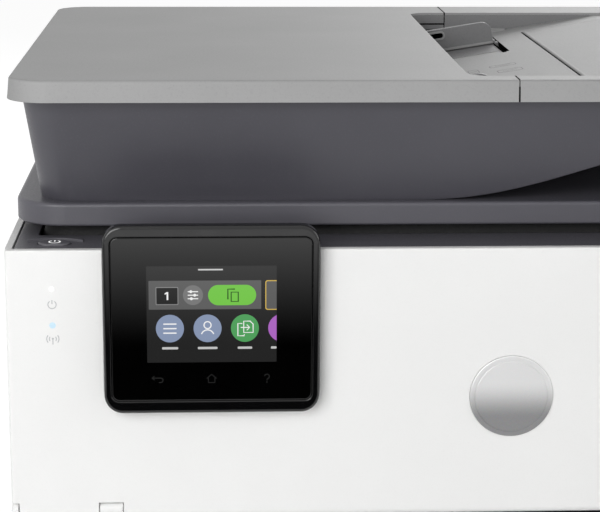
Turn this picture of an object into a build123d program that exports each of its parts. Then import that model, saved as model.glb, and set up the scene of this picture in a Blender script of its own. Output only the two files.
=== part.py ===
from build123d import *
from math import atan, cos, degrees, pi, sin, sqrt
import os

# Office inkjet printer with a document feeder on its scanner lid.
# Millimetres. X to the right, Y to the back, Z up, origin on the floor
# under the middle of the outer box.

# ---- driving sizes of the body ----
body_w = 437.0            # across the two side covers
body_d = 334.0            # front door face to rear cover
panel_proud = 8.0         # control panel in front of the door face
foot_h = 4.0
deck_z = 207.0            # top of the white body
wall = 2.5                # inner housings
skin = 2.9                # white outer covers
seam = 0.4                # between two housings that never move
run = 0.5                 # beside a piece that moves
fit = 0.05                # pin in its hole, radial

skirt = 12.5              # rear return of the side covers
half_w = body_w / 2
front_y = panel_proud - (body_d + panel_proud) / 2
back_y = front_y + body_d
inner_x = half_w - skin

# ---- front door ----
door_t = 3.5              # also the radius of the hinge roll
door_bottom = 86.0
door_hinge_y = front_y + door_t
door_hinge_z = door_bottom + door_t
door_lug_x = 175.0        # hinge lugs of the door, from the middle
pin_r = 1.5
usb_x = -half_w + 29.5    # front socket, left of the paper opening
usb_z = 62.0
badge_r = 18.25
badge_z = 140.6
badge_t = 0.8

# ---- control panel ----
panel_left = 41.8         # from the left side of the body
panel_rise = 10.0         # above the deck
panel_t = 12.0
panel_r = 8.0
glass_w = 85.4
glass_h = 71.6
bezel_side = 3.45         # housing round the glass
bezel_top = 3.1
bezel_foot = 5.8
glass_t = 1.8
glass_r = 3.0
screen_w = 55.2
screen_h = 41.4
screen_up = 17.1          # lower edge of the glass to lower edge of the screen
panel_axis_back = 16.0    # tilt axis behind the panel face
panel_axis_z = deck_z - 4.0
ear_x = 33.5              # ears of the panel and lugs of its carrier, from its middle
lug_x = 40.0

panel_w = glass_w + 2 * bezel_side
panel_h = glass_h + bezel_top + bezel_foot
panel_x0 = -half_w + panel_left
panel_x1 = panel_x0 + panel_w
panel_x = (panel_x0 + panel_x1) / 2
panel_top = deck_z + panel_rise
panel_z = panel_top - panel_h
panel_face_y = front_y - panel_proud
panel_axis_y = panel_face_y + panel_axis_back
glass_top = panel_top - bezel_top
glass_z = glass_top - glass_h
notch_x0 = panel_x0 - run
notch_x1 = panel_x1 + run
notch_z = panel_z - run

# ---- power button ----
button_x = -half_w + 20.5
button_y = front_y + 12.6
button_l = 14.0
button_w = 8.0
button_travel = 1.0

# ---- scanner base and glass ----
deck_t = 2.5
deck_side = 3.9           # deck edge from the outer side of the body
base_x = half_w - 12.5    # half width of the black base above the deck
base_front = front_y + 30.0
base_back = back_y - 13.0
base_step = 4.0           # ledge that carries the deck
base_bottom = deck_z - 39.0
base_top = deck_z + 4.6
glass_plate_t = 2.5
flatbed_w = 305.0
flatbed_d = 222.0
flatbed_x = -7.0          # middle of the flatbed glass
feeder_glass_w = 22.0
feeder_glass_x = -half_w + 37.5
scan_y = 12.0             # middle of the scanned width
scan_bar_w = 16.0
scan_bar_l = 228.0
scan_bar_x = feeder_glass_x
scan_rail_z = deck_z - 25.0
scan_rail_r = 3.0

# ---- scanner lid ----
lid_gap = 0.4             # lid above the base
lid_t = 10.2
lid_side = 1.9            # lid edge from the outer side of the body
lid_front = front_y + 24.5
lid_back = back_y - 13.0
lid_r = 22.4
pad_t = 2.5
lid_axis_y = lid_back + 4.0
lid_axis_z = deck_z + 10.0
lid_hinge_x = 140.0
lid_bottom = base_top + lid_gap
lid_top = lid_bottom + lid_t

# ---- document feeder ----
rim_h = 9.7
rim_z = deck_z + 61.3     # underside of the light grey rim
rim_side = 1.4            # rim from the outer side of the body, at its top
rim_front = front_y + 10.0
rim_back = back_y - 17.0
rim_r = 17.0
rim_flare = 0.9           # how much wider the rim is at its lower edge
rim_top = rim_z + rim_h
tray_front = front_y + 23.0
tray_back = front_y + 282.6
cover_edge = -half_w + 199.6   # opening edge of the feeder cover
cover_arm = -half_w + 219.9    # where its two arms end
slope = 0.162             # document tray rises to the right
slope_deg = degrees(atan(slope))
floor_edge_z = rim_z - 8.8     # tray floor at the cover's opening edge
floor_top_z = rim_z + 8.1      # level part of the tray floor
floor_t = 2.5
floor_left = -half_w + 166.5
floor_right = half_w - 6.0
flap_x0 = -half_w + 260.5
flap_y0 = front_y + 43.0
flap_y1 = front_y + 262.0
flap_r = 1.4
flap_gap = 1.1            # open joint along the rolled edge of the flap
adf_foot_side = 12.5      # feeder housing from the side of the body, at its foot
adf_head_side = 6.5       # the same under the rim
adf_foot_front = front_y + 29.5
adf_head_front = front_y + 15.5
adf_foot_back = back_y - 24.0
adf_head_back = back_y - 19.0
adf_r = 17.0
bin_start = -half_w + 181.0    # where the lower edge starts to rise
bin_back = back_y - 34.0

# ---- document guides: rack and pinion under the tray floor ----
guide_mid_y = front_y + 152.5
guide_half = 86.5
guide_in = 36.5
guide_out = 22.0
guide_h = 12.0
guide_t = 3.0
guide_l = 41.0
guide_short = 16.0        # fence of the front guide, which stays under the feeder cover
grip_w = 2.8              # finger slot in a fence
grip_z = 8.5
rack_module = 1.25
pinion_teeth = 14
pinion_x = -half_w + 243.0
rack_gap = 0.2            # extra between rack and pinion pitch lines

# ---- print engine ----
frame_x = half_w - 11.5   # inner side of the frame walls, from the middle
frame_t = 2.5
rail_y = -20.0
rail_z0 = 104.0
rail_z1 = 158.0
belt_y = -29.0
belt_z = 140.0
belt_w = 5.0
belt_t = 1.2
pulley_r = 6.5
pulley_x = frame_x - 11.0
carriage_w = 104.0
carriage_x = frame_x - 61.0   # parked at the right end, over the service station
carriage_y0 = -128.0
carriage_y1 = -34.0
carriage_z0 = 101.0
carriage_z1 = 156.0
cartridge_w = 22.0
cartridge_pitch = 24.4
cartridge_l = 78.0
cartridge_h = 42.0
feed_y = -22.0
feed_z = 88.0
feed_r = 6.0
eject_y = -118.0
gear_module = 1.0
feed_teeth = 32
idler_teeth = 72
shaft_r = 2.5
gear_clear = 1.0          # round the teeth of the roller gears
station_x0 = frame_x - 75.0

# ---- paper trays ----
paper_w = 216.0
paper_l = 297.0
mouth_x = paper_w / 2 + 27.0   # half width of the opening between the pillars
tray_z = 8.0
tray_h = 46.0
tray_l = 312.0
tray_wall = 2.5
tray_clear = 2.5          # paper to tray wall, each side
tray_guide_h = 28.0
tray_pinion_y = 40.0
out_z = tray_z + tray_h + 4.5
out_t = 6.5
slider_w = 118.0
slider_t = 2.6
slider_l = 134.0
tongue = 1.5
stop_h = 20.0
stop_w = 60.0
pick_axis_y = 20.0
pick_axis_z = 76.0
pick_arm_l = 46.0
pick_r = 9.0
stack_top = 31.5          # top of the paper under the pick roller
frame_foot = out_z + 7.5  # where the frame stands on the pan walls

# ---- rear side ----
access_x = 124.0
access_z0 = frame_foot
access_z1 = 150.0
access_lug_x = 70.0
access_roll = 3.0         # hinge roll along its lower edge
inlet_x = half_w - 53.5
inlet_z = 40.0
ports_x = -half_w + 46.5
board_x = -half_w + 18.5
ports_z = 46.0

os.makedirs("parts", exist_ok=True)


# ---- helpers ----
def block(x0, x1, y0, y1, z0, z1):
    return Pos((x0 + x1) / 2, (y0 + y1) / 2, (z0 + z1) / 2) * Box(x1 - x0, y1 - y0, z1 - z0)


def plate(x0, x1, y0, y1, z0, z1, radius):
    # block with rounded upright edges
    outline = RectangleRounded(x1 - x0, y1 - y0, radius)
    return extrude(Pos((x0 + x1) / 2, (y0 + y1) / 2, z0) * outline, z1 - z0)


def front_plate(x0, x1, y0, y1, z0, z1, radius):
    # block whose edges along Y are rounded
    outline = Plane.XZ * RectangleRounded(x1 - x0, z1 - z0, radius)
    return Pos((x0 + x1) / 2, y1, (z0 + z1) / 2) * extrude(outline, y1 - y0)


def rod_x(y, z, radius, x0, x1):
    return Pos((x0 + x1) / 2, y, z) * Rot(0, 90, 0) * Cylinder(radius, x1 - x0)


def rod_y(x, z, radius, y0, y1):
    return Pos(x, (y0 + y1) / 2, z) * Rot(90, 0, 0) * Cylinder(radius, y1 - y0)


def rod_z(x, y, radius, z0, z1):
    return Pos(x, y, (z0 + z1) / 2) * Cylinder(radius, z1 - z0)


def prism_x(points, x0, x1):
    # outline in (y, z), drawn out along X
    return Pos(x0, 0, 0) * extrude(Plane.YZ * make_face(Polyline(*points, close=True)), x1 - x0)


def prism_y(points, y0, y1):
    # outline in (x, z), drawn out along Y
    return Pos(0, y1, 0) * extrude(Plane.XZ * make_face(Polyline(*points, close=True)), y1 - y0)


def mirrored(part):
    return mirror(part, about=Plane.YZ)


def gear(teeth, module, width):
    # spur gear lying flat on its middle, one tooth on the X axis
    tip = module * (teeth / 2 + 1)
    root = module * (teeth / 2 - 1.25)
    pitch_angle = 2 * pi / teeth
    points = []
    for index in range(teeth):
        middle = index * pitch_angle
        for radius, share in ((root, -0.29), (tip, -0.11), (tip, 0.11), (root, 0.29)):
            angle = middle + share * pitch_angle
            points.append((radius * cos(angle), radius * sin(angle)))
    return extrude(make_face(Polyline(*points, close=True)), width / 2, both=True)


def rack(start, end, module, back, width):
    # toothed bar along Y with its teeth towards +X; the pitch line is at x = 0
    # and a gap between two teeth is at y = 0
    pitch = pi * module
    first = int(start // pitch) + 1
    last = int(end // pitch) - 1
    points = [(-back, start), (-1.25 * module, start)]
    for index in range(first, last + 1):
        middle = (index + 0.5) * pitch
        for depth, share in ((-1.25, -0.29), (1.0, -0.11), (1.0, 0.11), (-1.25, 0.29)):
            points.append((depth * module, middle + share * pitch))
    points += [(-1.25 * module, end), (-back, end)]
    return extrude(make_face(Polyline(*points, close=True)), width / 2, both=True)


def write(name, part):
    solids = part.solids()
    shape = solids[0] if len(solids) == 1 else Compound(children=list(solids))
    export_step(shape, f"parts/{name}.step")


# ---- lower housing ----
pan_x = inner_x - 0.6
pan_z = foot_h + wall
rail_in = paper_w / 2 + tray_clear + tray_wall + run
pan_front = front_y + 4.0
pan_back = back_y - wall - seam


def rubber_feet():
    feet = Part()
    for x in (-half_w + 28, half_w - 28):
        for y in (front_y + 28, back_y - 28):
            foot = rod_z(x, y, 9.0, 0, foot_h)
            feet += fillet(foot.edges().group_by(Axis.Z)[0], 1.2)
    return feet


def base_pan():
    # open tub: floor, outer walls, and the two runners beside the input tray
    pan = block(-pan_x, pan_x, pan_front, pan_back, foot_h, pan_z)
    for side in (-1, 1):
        x0, x1 = sorted((side * (pan_x - wall), side * pan_x))
        pan += block(x0, x1, pan_front, pan_back, pan_z, frame_foot)
        x0, x1 = sorted((side * rail_in, side * (rail_in + wall)))
        pan += block(x0, x1, pan_front, pan_back, pan_z, out_z)
        x0, x1 = sorted((side * rail_in, side * (pan_x - wall)))
        for step in range(3):
            y = pan_front + 60 + step * 70
            pan += block(x0, x1, y, y + 2, pan_z, 20)
    pan += block(-pan_x, pan_x, pan_back - wall, pan_back, pan_z, 58)
    for x in (inlet_x, ports_x):
        pan -= block(x - 26, x + 26, pan_back - wall - 1, pan_back + 1, inlet_z - 16, 60)
    pan -= gear_room()
    return pan


def front_usb_port():
    # bezel, socket and its tongue behind the opening of the left cover
    shell = block(usb_x - 8.6, usb_x + 8.6, front_y + 0.6, front_y + 18, usb_z - 5.7, usb_z + 5.7)
    shell -= block(usb_x - 6.6, usb_x + 6.6, front_y - 1, front_y + 14, usb_z - 2.6, usb_z + 2.6)
    shell += block(usb_x - 5.6, usb_x + 5.6, front_y + 3, front_y + 14.5, usb_z + 0.2, usb_z + 1.8)
    return shell


def side_cover(side):
    # thin outer wall that wraps round the front below the door and round the rear
    # corner, with the lug of the door hinge and a finger notch beside the door;
    # modelled on the right and mirrored for the left
    low = foot_h + 2
    z1 = door_bottom - seam
    cover = block(inner_x, half_w, door_hinge_y + seam, back_y, low, deck_z)
    cover += block(inner_x, half_w, front_y, door_hinge_y + 1, low, door_hinge_z + door_t)
    toe = cover.edges().filter_by(Axis.X).group_by(Axis.Y)[0].sort_by(Axis.Z)[-1]
    cover = fillet(toe, door_t - 0.01)
    cover += block(half_w - skirt, half_w, back_y - skin, back_y, low, deck_z)
    corner = cover.edges().filter_by(Axis.Z).group_by(Axis.Y)[-1].sort_by(Axis.X)[-1]
    cover = fillet(corner, skin - 0.2)
    cover += block(mouth_x, half_w, front_y, front_y + skin, low, z1)
    corner = cover.edges().filter_by(Axis.Z).group_by(Axis.Y)[0].sort_by(Axis.X)
    cover = fillet([corner[0], corner[-1]], 1.4)
    cover += block(mouth_x, mouth_x + skin, front_y + 1.5, front_y + 26, pan_z, z1)
    cover += block(mouth_x, half_w - 1, front_y + 1.5, front_y + 12, z1 - skin, z1)
    cover += rod_x(door_hinge_y, door_hinge_z, door_t - 0.4, door_lug_x - 5, door_lug_x + 5)
    cover += block(door_lug_x - 5, door_lug_x + 5, door_hinge_y - 2, door_hinge_y + 2, z1 - 1, door_hinge_z)
    cover += rod_x(door_hinge_y, door_hinge_z, pin_r, door_lug_x - 10, door_lug_x + 10)
    for z in (30, 60, 120, 150, deck_z - 27):
        cover += block(inner_x - 0.45, inner_x + 0.5, front_y + 30, back_y - 30, z, z + 1.6)
    cover -= plate(inner_x - 1, half_w + 1, door_hinge_y - 8, door_hinge_y + 8, deck_z - 59, deck_z - 21, 1)
    if side > 0:
        return cover
    return mirrored(cover) - block(
        usb_x - 8.9, usb_x + 8.9, front_y - 1, front_y + skin + 1, usb_z - 6, usb_z + 6)


def rear_cover():
    # back wall with the access opening, the sockets and rows of vents
    x0 = half_w - skirt - seam
    cover = block(-x0, x0, back_y - wall, back_y, foot_h + 2, deck_z - 2.5 - seam)
    cover -= front_plate(-access_x, access_x, back_y - 9, back_y + 1, access_z0 + 9, access_z1, 5)
    cover -= block(-access_x, access_x, back_y - 9, back_y + 1, access_z0, access_z0 + 20)
    cover -= block(inlet_x - 15, inlet_x + 15, back_y - 9, back_y + 1, inlet_z - 12, inlet_z + 12)
    cover -= block(ports_x - 21, ports_x + 21, back_y - 9, back_y + 1, ports_z - 11, ports_z + 11)
    for row in range(3):
        for column in range(14):
            x = half_w - 152.5 + column * 9
            z = deck_z - 47 + row * 13
            cover -= block(x, x + 4, back_y - 9, back_y + 1, z, z + 9)
    return cover


def rear_access_door():
    # ribbed cover over the paper turn, hinged along its lower edge
    x0 = access_x - run
    z0, z1 = access_z0 + run, access_z1 - run
    door = front_plate(-x0, x0, back_y - wall, back_y, z0 - 9, z1, 4.5)
    door -= block(-half_w, half_w, back_y - 9, back_y + 1, z0 - 20, z0 + access_roll)
    door += rod_x(back_y - access_roll, z0 + access_roll, access_roll, -x0, x0)
    door += block(-x0 + 8, x0 - 8, back_y - 12, back_y - wall, z0 + 12, z0 + 14)
    door += block(-x0 + 8, x0 - 8, back_y - 12, back_y - wall, z1 - 14, z1 - 12)
    for x in (-100, -60, -20, 20, 60, 100):
        door += block(x - 1, x + 1, back_y - 14, back_y - wall, z0 + 12, z1 - 12)
    door -= front_plate(-26, 26, back_y - 1.2, back_y + 1, z1 - 16, z1 - 6, 4)
    for x in (-access_lug_x, access_lug_x):
        door -= block(x - 7, x + 7, back_y - 8, back_y + 1, z0 - 1, z0 + 7.4)
        door -= rod_x(back_y - access_roll, z0 + access_roll, pin_r + fit, x - 14, x + 14)
    return door


# ---- chassis, deck and scanner ----
def chassis_frame():
    # two side walls and the cross beams that carry the engine and the scanner,
    # the pick shaft, and the lugs of the rear access door
    frame = Part()
    y0, y1 = front_y + 24, back_y - 12
    for side in (-1, 1):
        x0, x1 = sorted((side * frame_x, side * (frame_x + frame_t)))
        cheek = block(x0, x1, y0, y1, frame_foot, base_bottom)
        cheek -= plate(x0 - 1, x1 + 1, 30, 100, 100, 150, 1)
        for y in (feed_y, eject_y):
            cheek -= rod_x(y, feed_z, shaft_r + fit, x0 - 1, x1 + 1)
        cheek -= rod_x(*idler_place(), shaft_r + fit, x0 - 1, x1 + 1)
        x0, x1 = sorted((side * frame_x, side * pan_x))
        frame += cheek + block(x0, x1, y0, y1, frame_foot, frame_foot + 2)
    frame -= gear_room()
    frame += block(-frame_x, frame_x, back_y - 20, back_y - 18, access_z1 + 1, base_bottom)
    frame += block(-frame_x, frame_x, back_y - 20, back_y - 6.5, access_z1 + 1, access_z1 + 3.5)
    frame += rod_x(pick_axis_y, pick_axis_z, 2.0, -frame_x, frame_x)
    y = back_y - access_roll
    z = access_z0 + run + access_roll
    for x in (-access_lug_x, access_lug_x):
        frame += rod_x(y, z, 2.6, x - 6.4, x + 6.4)
        frame += rod_x(y, z, pin_r, x - 13, x + 13)
        frame += block(x - 6.4, x + 6.4, back_y - 14, y, z - 2.6, z + 2.0)
    frame += block(-frame_x, frame_x, back_y - 16.5, back_y - 14, frame_foot - 4, access_z0 + 6)
    return frame


def top_deck():
    # frame around the scanner base, with the pocket behind the panel and the
    # hole and raised arc of the power button
    x0 = half_w - deck_side
    z0 = deck_z - deck_t
    front = door_hinge_y + run
    back = back_y - skin - seam
    deck = block(-x0, x0, front, back, z0, deck_z)
    for side in (-1, 1):
        a, b = sorted((side * (x0 - 2), side * x0))
        deck += block(a, b, front + 8, back, z0 - 6, z0)
    deck -= block(-base_x - 0.4, base_x + 0.4, base_front - 0.4, base_back + 0.4, z0 - 9, deck_z + 1)
    deck -= block(notch_x0, notch_x1, front - 1, panel_axis_y + 9, z0 - 1, deck_z + 1)
    hole = Pos(button_x, button_y, z0 - 1) * SlotOverall(button_l + 0.8, button_w + 0.8)
    deck -= extrude(hole, deck_t + 2)
    ridge = Pos(button_x, button_y - 12, deck_z) * (Circle(21.2) - Circle(19.2))
    ridge = extrude(ridge, 0.9)
    for x in (-lid_hinge_x, lid_hinge_x):
        deck -= block(x - 6.8, x + 6.8, base_back, lid_axis_y + 3.4, z0 - 9, deck_z + 1)
    deck += ridge & block(button_x - 12, button_x + 12, button_y, button_y + 12, z0, deck_z + 1)
    return deck


def power_button():
    cap = Pos(button_x, button_y, deck_z - deck_t - 1.5) * SlotOverall(button_l, button_w)
    button = extrude(cap, deck_t + 1.5 + 0.9)
    button = fillet(button.edges().group_by(Axis.Z)[-1], 0.7)
    button += rod_z(button_x, button_y, 2.0, deck_z - 12, deck_z - 3)
    return button


def button_z():
    # top of the switch under the button
    return deck_z - 12 - button_travel - 0.4


def panel_bracket():
    # black carrier behind the control panel, with the pins of the tilt axis;
    # an arm to the left holds the switch board under the power button
    y = panel_axis_y + 12
    z1 = deck_z - deck_t
    part = block(panel_x0 - 4, panel_x1 + 4, y, y + wall, carriage_z1 + 2, z1)
    for x in (panel_x - lug_x, panel_x + lug_x):
        part += block(x - 3, x + 3, panel_axis_y - 3.5, y, panel_axis_z - 12, panel_axis_z + 1.0)
        part -= rod_x(panel_axis_y, panel_axis_z, 1.5 + fit, x - 4, x + 4)
        part += block(x - 3, x + 3, y + wall, base_front - base_step, base_bottom + 4, base_bottom + 12)
    arm_x0 = button_x - 8
    part += block(arm_x0, panel_x0 - 3, y - 6, y + wall, button_z() - 4, button_z() - 1.6)
    part += block(arm_x0, button_x + 8, button_y - 5, y, button_z() - 4, button_z() - 1.6)
    part += block(button_x - 5, button_x + 5, button_y - 4, button_y + 4, button_z() - 1.6, button_z())
    return part


def scanner_base():
    # lower tub under the deck and a bevelled black band above it
    lower = block(-base_x - base_step, base_x + base_step, base_front - base_step,
                  base_back + base_step, base_bottom, deck_z - deck_t)
    foot = Pos(0, (base_front + base_back) / 2, deck_z - deck_t)
    band = foot * RectangleRounded(2 * base_x, base_back - base_front, 16)
    band_h = base_top - deck_z + deck_t
    base = lower + extrude(band, band_h, taper=22)
    glass_z0 = base_top - glass_plate_t
    ledge_z = glass_z0 - 1.5
    floor = base_bottom + wall
    base -= block(-base_x, base_x, base_front + wall, base_back - wall, floor, deck_z - deck_t - 1)
    base -= block(-base_x + 7, base_x - 7, base_front + 8, base_back - 8, floor, ledge_z)
    for x, width in ((flatbed_x, flatbed_w), (feeder_glass_x, feeder_glass_w)):
        half, deep = width / 2, flatbed_d / 2
        base -= block(x - half, x + half, scan_y - deep, scan_y + deep, glass_z0, base_top + 1)
        base -= block(x - half + 4, x + half - 4, scan_y - deep + 4, scan_y + deep - 4,
                      ledge_z - 1, glass_z0 + 0.1)
    for x in (-base_x + 4, base_x - 4):
        base += block(x - 4, x + 4, scan_y - 6, scan_y + 6, floor - 0.5, scan_rail_z + 6)
        base -= rod_x(scan_y, scan_rail_z, scan_rail_r, x - 5, x + 5)
    for side in (-1, 1):
        x = side * lid_hinge_x
        base += block(x - 6, x + 6, lid_axis_y - 3.2, lid_axis_y + 2.8, deck_z - 12, lid_axis_z)
        base += block(x - 6, x + 6, base_back - 6, lid_axis_y, deck_z - deck_t - 1, deck_z)
        base += rod_x(lid_axis_y, lid_axis_z, 2.8, x - 6, x + 6)
        base += rod_x(lid_axis_y, lid_axis_z, pin_r, x - 12, x + 12)
    return base


def scanner_glass():
    # flatbed pane and the narrow pane under the feeder
    glass = Part()
    for x, width in ((flatbed_x, flatbed_w), (feeder_glass_x, feeder_glass_w)):
        half, deep = width / 2 - 0.1, flatbed_d / 2 - 0.1
        glass += block(x - half, x + half, scan_y - deep, scan_y + deep,
                       base_top - glass_plate_t, base_top - 0.1)
    return glass


def scan_rail():
    return rod_x(scan_y, scan_rail_z, scan_rail_r, -base_x + 1, base_x - 1)


def scan_bar():
    # image sensor bar on a bushing that slides on the rail
    top = base_top - glass_plate_t - 1.5 - 0.9
    w = scan_bar_w / 2
    outline = ((scan_bar_x - w, top - 13), (scan_bar_x + w, top - 13), (scan_bar_x + w, top - 3),
               (scan_bar_x + w - 3, top), (scan_bar_x - w + 3, top), (scan_bar_x - w, top - 3))
    bar = prism_y(outline, scan_y - scan_bar_l / 2, scan_y + scan_bar_l / 2)
    bar += block(scan_bar_x - w, scan_bar_x + w, scan_y - 9, scan_y + 9, scan_rail_z - 6, top - 12)
    bar -= rod_x(scan_y, scan_rail_z, scan_rail_r + fit, scan_bar_x - w - 1, scan_bar_x + w + 1)
    return bar


# ---- lid and document feeder ----
def scanner_lid():
    # shallow slab with a pocket for the pad and a slot under the feeder drum
    x = half_w - lid_side
    lid = plate(-x, x, lid_front, lid_back, lid_bottom, lid_top, lid_r)
    lid = fillet(lid.edges().group_by(Axis.Z)[-1], 1.6)
    lid = fillet(lid.edges().group_by(Axis.Z)[0], 1.0)
    pocket = plate(pad_x0() - 0.4, pad_x1() + 0.4, scan_y - 124.4, scan_y + 124.4,
                   lid_bottom - 1, lid_bottom + pad_t, 3)
    lid -= pocket
    lid -= block(feeder_glass_x - 7, feeder_glass_x + 7, scan_y - 109, scan_y + 109,
                 lid_bottom - 1, lid_top + 1)
    for side in (-1, 1):
        x = side * lid_hinge_x
        for dx in (-10, 10):
            ear = block(x + dx - 3, x + dx + 3, lid_back - 4, lid_axis_y, lid_axis_z - 2.8, lid_axis_z + 2.8)
            ear += rod_x(lid_axis_y, lid_axis_z, 2.8, x + dx - 3, x + dx + 3)
            lid += ear
            lid -= rod_x(lid_axis_y, lid_axis_z, 1.5 + fit, x + dx - 4, x + dx + 4)
    return lid


def pad_x0():
    return flatbed_x - flatbed_w / 2 - 4


def pad_x1():
    return base_x - 12


def lid_pad():
    return plate(pad_x0(), pad_x1(), scan_y - 124, scan_y + 124, lid_bottom + 0.05, lid_bottom + pad_t, 3)


def feeder_tub(inset, z0):
    # tapered tub of the feeder housing, drawn in by the inset all round
    sketches = []
    for z in (z0, rim_z):
        share = (z - lid_top) / (rim_z - lid_top)
        x = half_w - adf_foot_side + share * (adf_foot_side - adf_head_side) - inset
        y0 = adf_foot_front + share * (adf_head_front - adf_foot_front) + inset
        y1 = adf_foot_back + share * (adf_head_back - adf_foot_back) - inset
        corner = adf_r - inset
        outline = RectangleRounded(2 * x, y1 - y0, corner)
        sketches.append(Pos(0, (y0 + y1) / 2, z) * outline)
    return loft(sketches)


def bin_profile(raise_by):
    # hollow over the lid where the scanned sheets land: level, then a long curve
    # up to the rim
    z = lid_top + raise_by
    x_end = half_w + 12
    curve = Spline((bin_start, z), (bin_start + 77, z + 16), (bin_start + 174, rim_z + raise_by),
                   tangents=((1, 0), (1, 0.31)))
    top = Line((bin_start + 174, rim_z + raise_by), (x_end, rim_z + raise_by))
    side = Line((x_end, rim_z + raise_by), (x_end, lid_top - 2))
    low = Line((x_end, lid_top - 2), (bin_start, lid_top - 2))
    close = Line((bin_start, lid_top - 2), (bin_start, z))
    return Plane.XZ * make_face(curve + top + side + low + close)


def adf_base():
    # moulded feeder housing: tapered tub, open at the top, cut by the curve of the
    # output bin, with bearings for the drum and the pick roller
    outer = feeder_tub(0, lid_top)
    cut = Pos(0, bin_back, 0) * extrude(bin_profile(0), bin_back - rim_front + 20)
    hollow = feeder_tub(wall, lid_top + wall)
    keep = Pos(0, bin_back + 60, 0) * extrude(bin_profile(wall), bin_back - rim_front + 120)
    housing = outer - cut - (hollow - keep)
    housing -= block(feeder_glass_x - 7, feeder_glass_x + 7, scan_y - 109, scan_y + 109,
                     lid_top - 1, lid_top + wall + 1)
    for x, z, radius in ((drum_x(), drum_axis_z(), 3.0), (pick_x(), pick_z(), 2.5)):
        for y in (scan_y - 121, scan_y + 111):
            bearing = block(x - 8, x + 8, y, y + 4, lid_top + wall - 0.5, z + 3)
            housing += bearing - rod_y(x, z, radius + fit, y - 1, y + 5)
    for y in hinge_ys():
        x, z = cover_axis()
        lug = rod_y(x, z, 2.6, y - 6, y + 6)
        lug += block(x, x + 5.5, y - 6, y + 6, rim_z - 2.5, z + 1.0)
        housing += lug + rod_y(x, z, 1.2, y - 12, y + 12)
    return housing


def cover_axis():
    return -half_w + rim_side + 2.1, rim_z + 0.3 + 2.1


def hinge_ys():
    return rim_front + 60, rim_back - 70


def drum_x():
    return feeder_glass_x + 6


def drum_axis_z():
    return lid_top + 20


def pick_x():
    return -half_w + 122.5


def pick_z():
    return floor_z(pick_x()) + 11.5


def floor_z(x):
    # top of the document tray floor
    return min(floor_edge_z + slope * (x - cover_edge), floor_top_z)


def rim_solid():
    # whole light grey rim with its flared lower edge, before it is parted
    x = half_w - rim_side
    middle = (rim_front + rim_back) / 2
    top = Pos(0, middle, rim_top) * RectangleRounded(2 * x, rim_back - rim_front, rim_r)
    low = Pos(0, middle, rim_z + 0.3) * RectangleRounded(
        2 * (x + rim_flare), rim_back - rim_front + 2 * rim_flare, rim_r + rim_flare)
    return loft([low, top])


def adf_cover():
    # feeder cover: shell with two arms that run along the rim
    body = rim_solid()
    body = fillet(body.edges().group_by(Axis.Z)[-1], 1.2)
    body &= block(-half_w, cover_arm - seam, rim_front - 9, rim_back + 9, rim_z - 9, rim_top + 9)
    mouth = plate(cover_edge, cover_arm + 30, tray_front, tray_back, rim_z - 9, rim_top + 9, 10)
    body -= mouth
    z1 = rim_top - wall
    inner = plate(-half_w + 7.5, cover_edge - wall, tray_front - 8, tray_back + 20, rim_z - 9, z1, 8)
    body -= inner
    for y in hinge_ys():
        x, z = cover_axis()
        body -= rod_y(x, z, 3.5, y - 6.5, y + 6.5)
        body -= block(-half_w - 1, x + 9, y - 6.5, y + 6.5, rim_z - 9, z + 1.4)
        body -= rod_y(x, z, 1.2 + fit, y - 13, y + 13)
    for index in range(4):
        y = tray_front + 50 + index * 60
        body += block(-half_w + 30, cover_edge - 10, y, y + 1.8, z1 - 3, z1 + 0.5)
    return body


def adf_tray():
    # document tray: right part of the rim, sloping floor, guide slots and recesses
    tray = rim_solid()
    tray = fillet(tray.edges().group_by(Axis.Z)[-1], 1.2)
    tray &= block(cover_arm, half_w + 2, rim_front - 9, rim_back + 9, rim_z - 9, rim_top + 9)
    tray -= block(cover_arm - 1, floor_right, tray_front, tray_back, rim_z - 9, rim_top + 9)
    flat_x = cover_edge + (floor_top_z - floor_edge_z) / slope
    low = floor_left
    outline = ((low, floor_z(low)), (flat_x, floor_top_z), (floor_right + 1, floor_top_z),
               (floor_right + 1, floor_top_z - floor_t), (flat_x, floor_top_z - floor_t),
               (low, floor_z(low) - floor_t))
    tray += prism_y(outline, tray_front - 0.1, tray_back + 0.1) & block(
        cover_arm - 1, half_w, rim_front, rim_back, 0, 400)
    tray += prism_y(outline, tray_front + run, tray_back - run) & block(
        low, cover_arm, rim_front, rim_back, 0, 400)
    cheek_top = rim_z - run
    cheek = ((low, floor_z(low) - floor_t), (flat_x - 50, floor_z(flat_x - 50) - floor_t),
             (flat_x - 50, cheek_top), (low, cheek_top))
    tray += prism_y(cheek, tray_front + run, tray_front + run + 2)
    tray += prism_y(cheek, tray_back - run - 2, tray_back - run)
    tray += block(cover_arm, flat_x - 50, tray_front - 1, tray_front + run + 2, rim_z - 3, rim_z + 1)
    tray += block(cover_arm, flat_x - 50, tray_back - run - 2, tray_back + 1, rim_z - 3, rim_z + 1)
    tray -= block(flap_x0 + run - flap_gap, floor_right - 8, flap_y0, flap_y1, rim_z - 20, rim_top + 9)
    for side in (-1, 1):
        tray -= floor_frame() * guide_room(side)
    tray += floor_frame() * rod_z(0, 0, 5.0, -floor_t - 1.2, -floor_t + 1)
    tray -= floor_frame() * rod_z(0, 0, 2.0 + fit, -9, -1.0)
    return tray


def floor_frame():
    # place on the sloping floor over the pinion: X up the slope, Z square to the floor
    return Location((pinion_x, guide_mid_y, floor_z(pinion_x)), (0, -slope_deg, 0))


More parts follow.
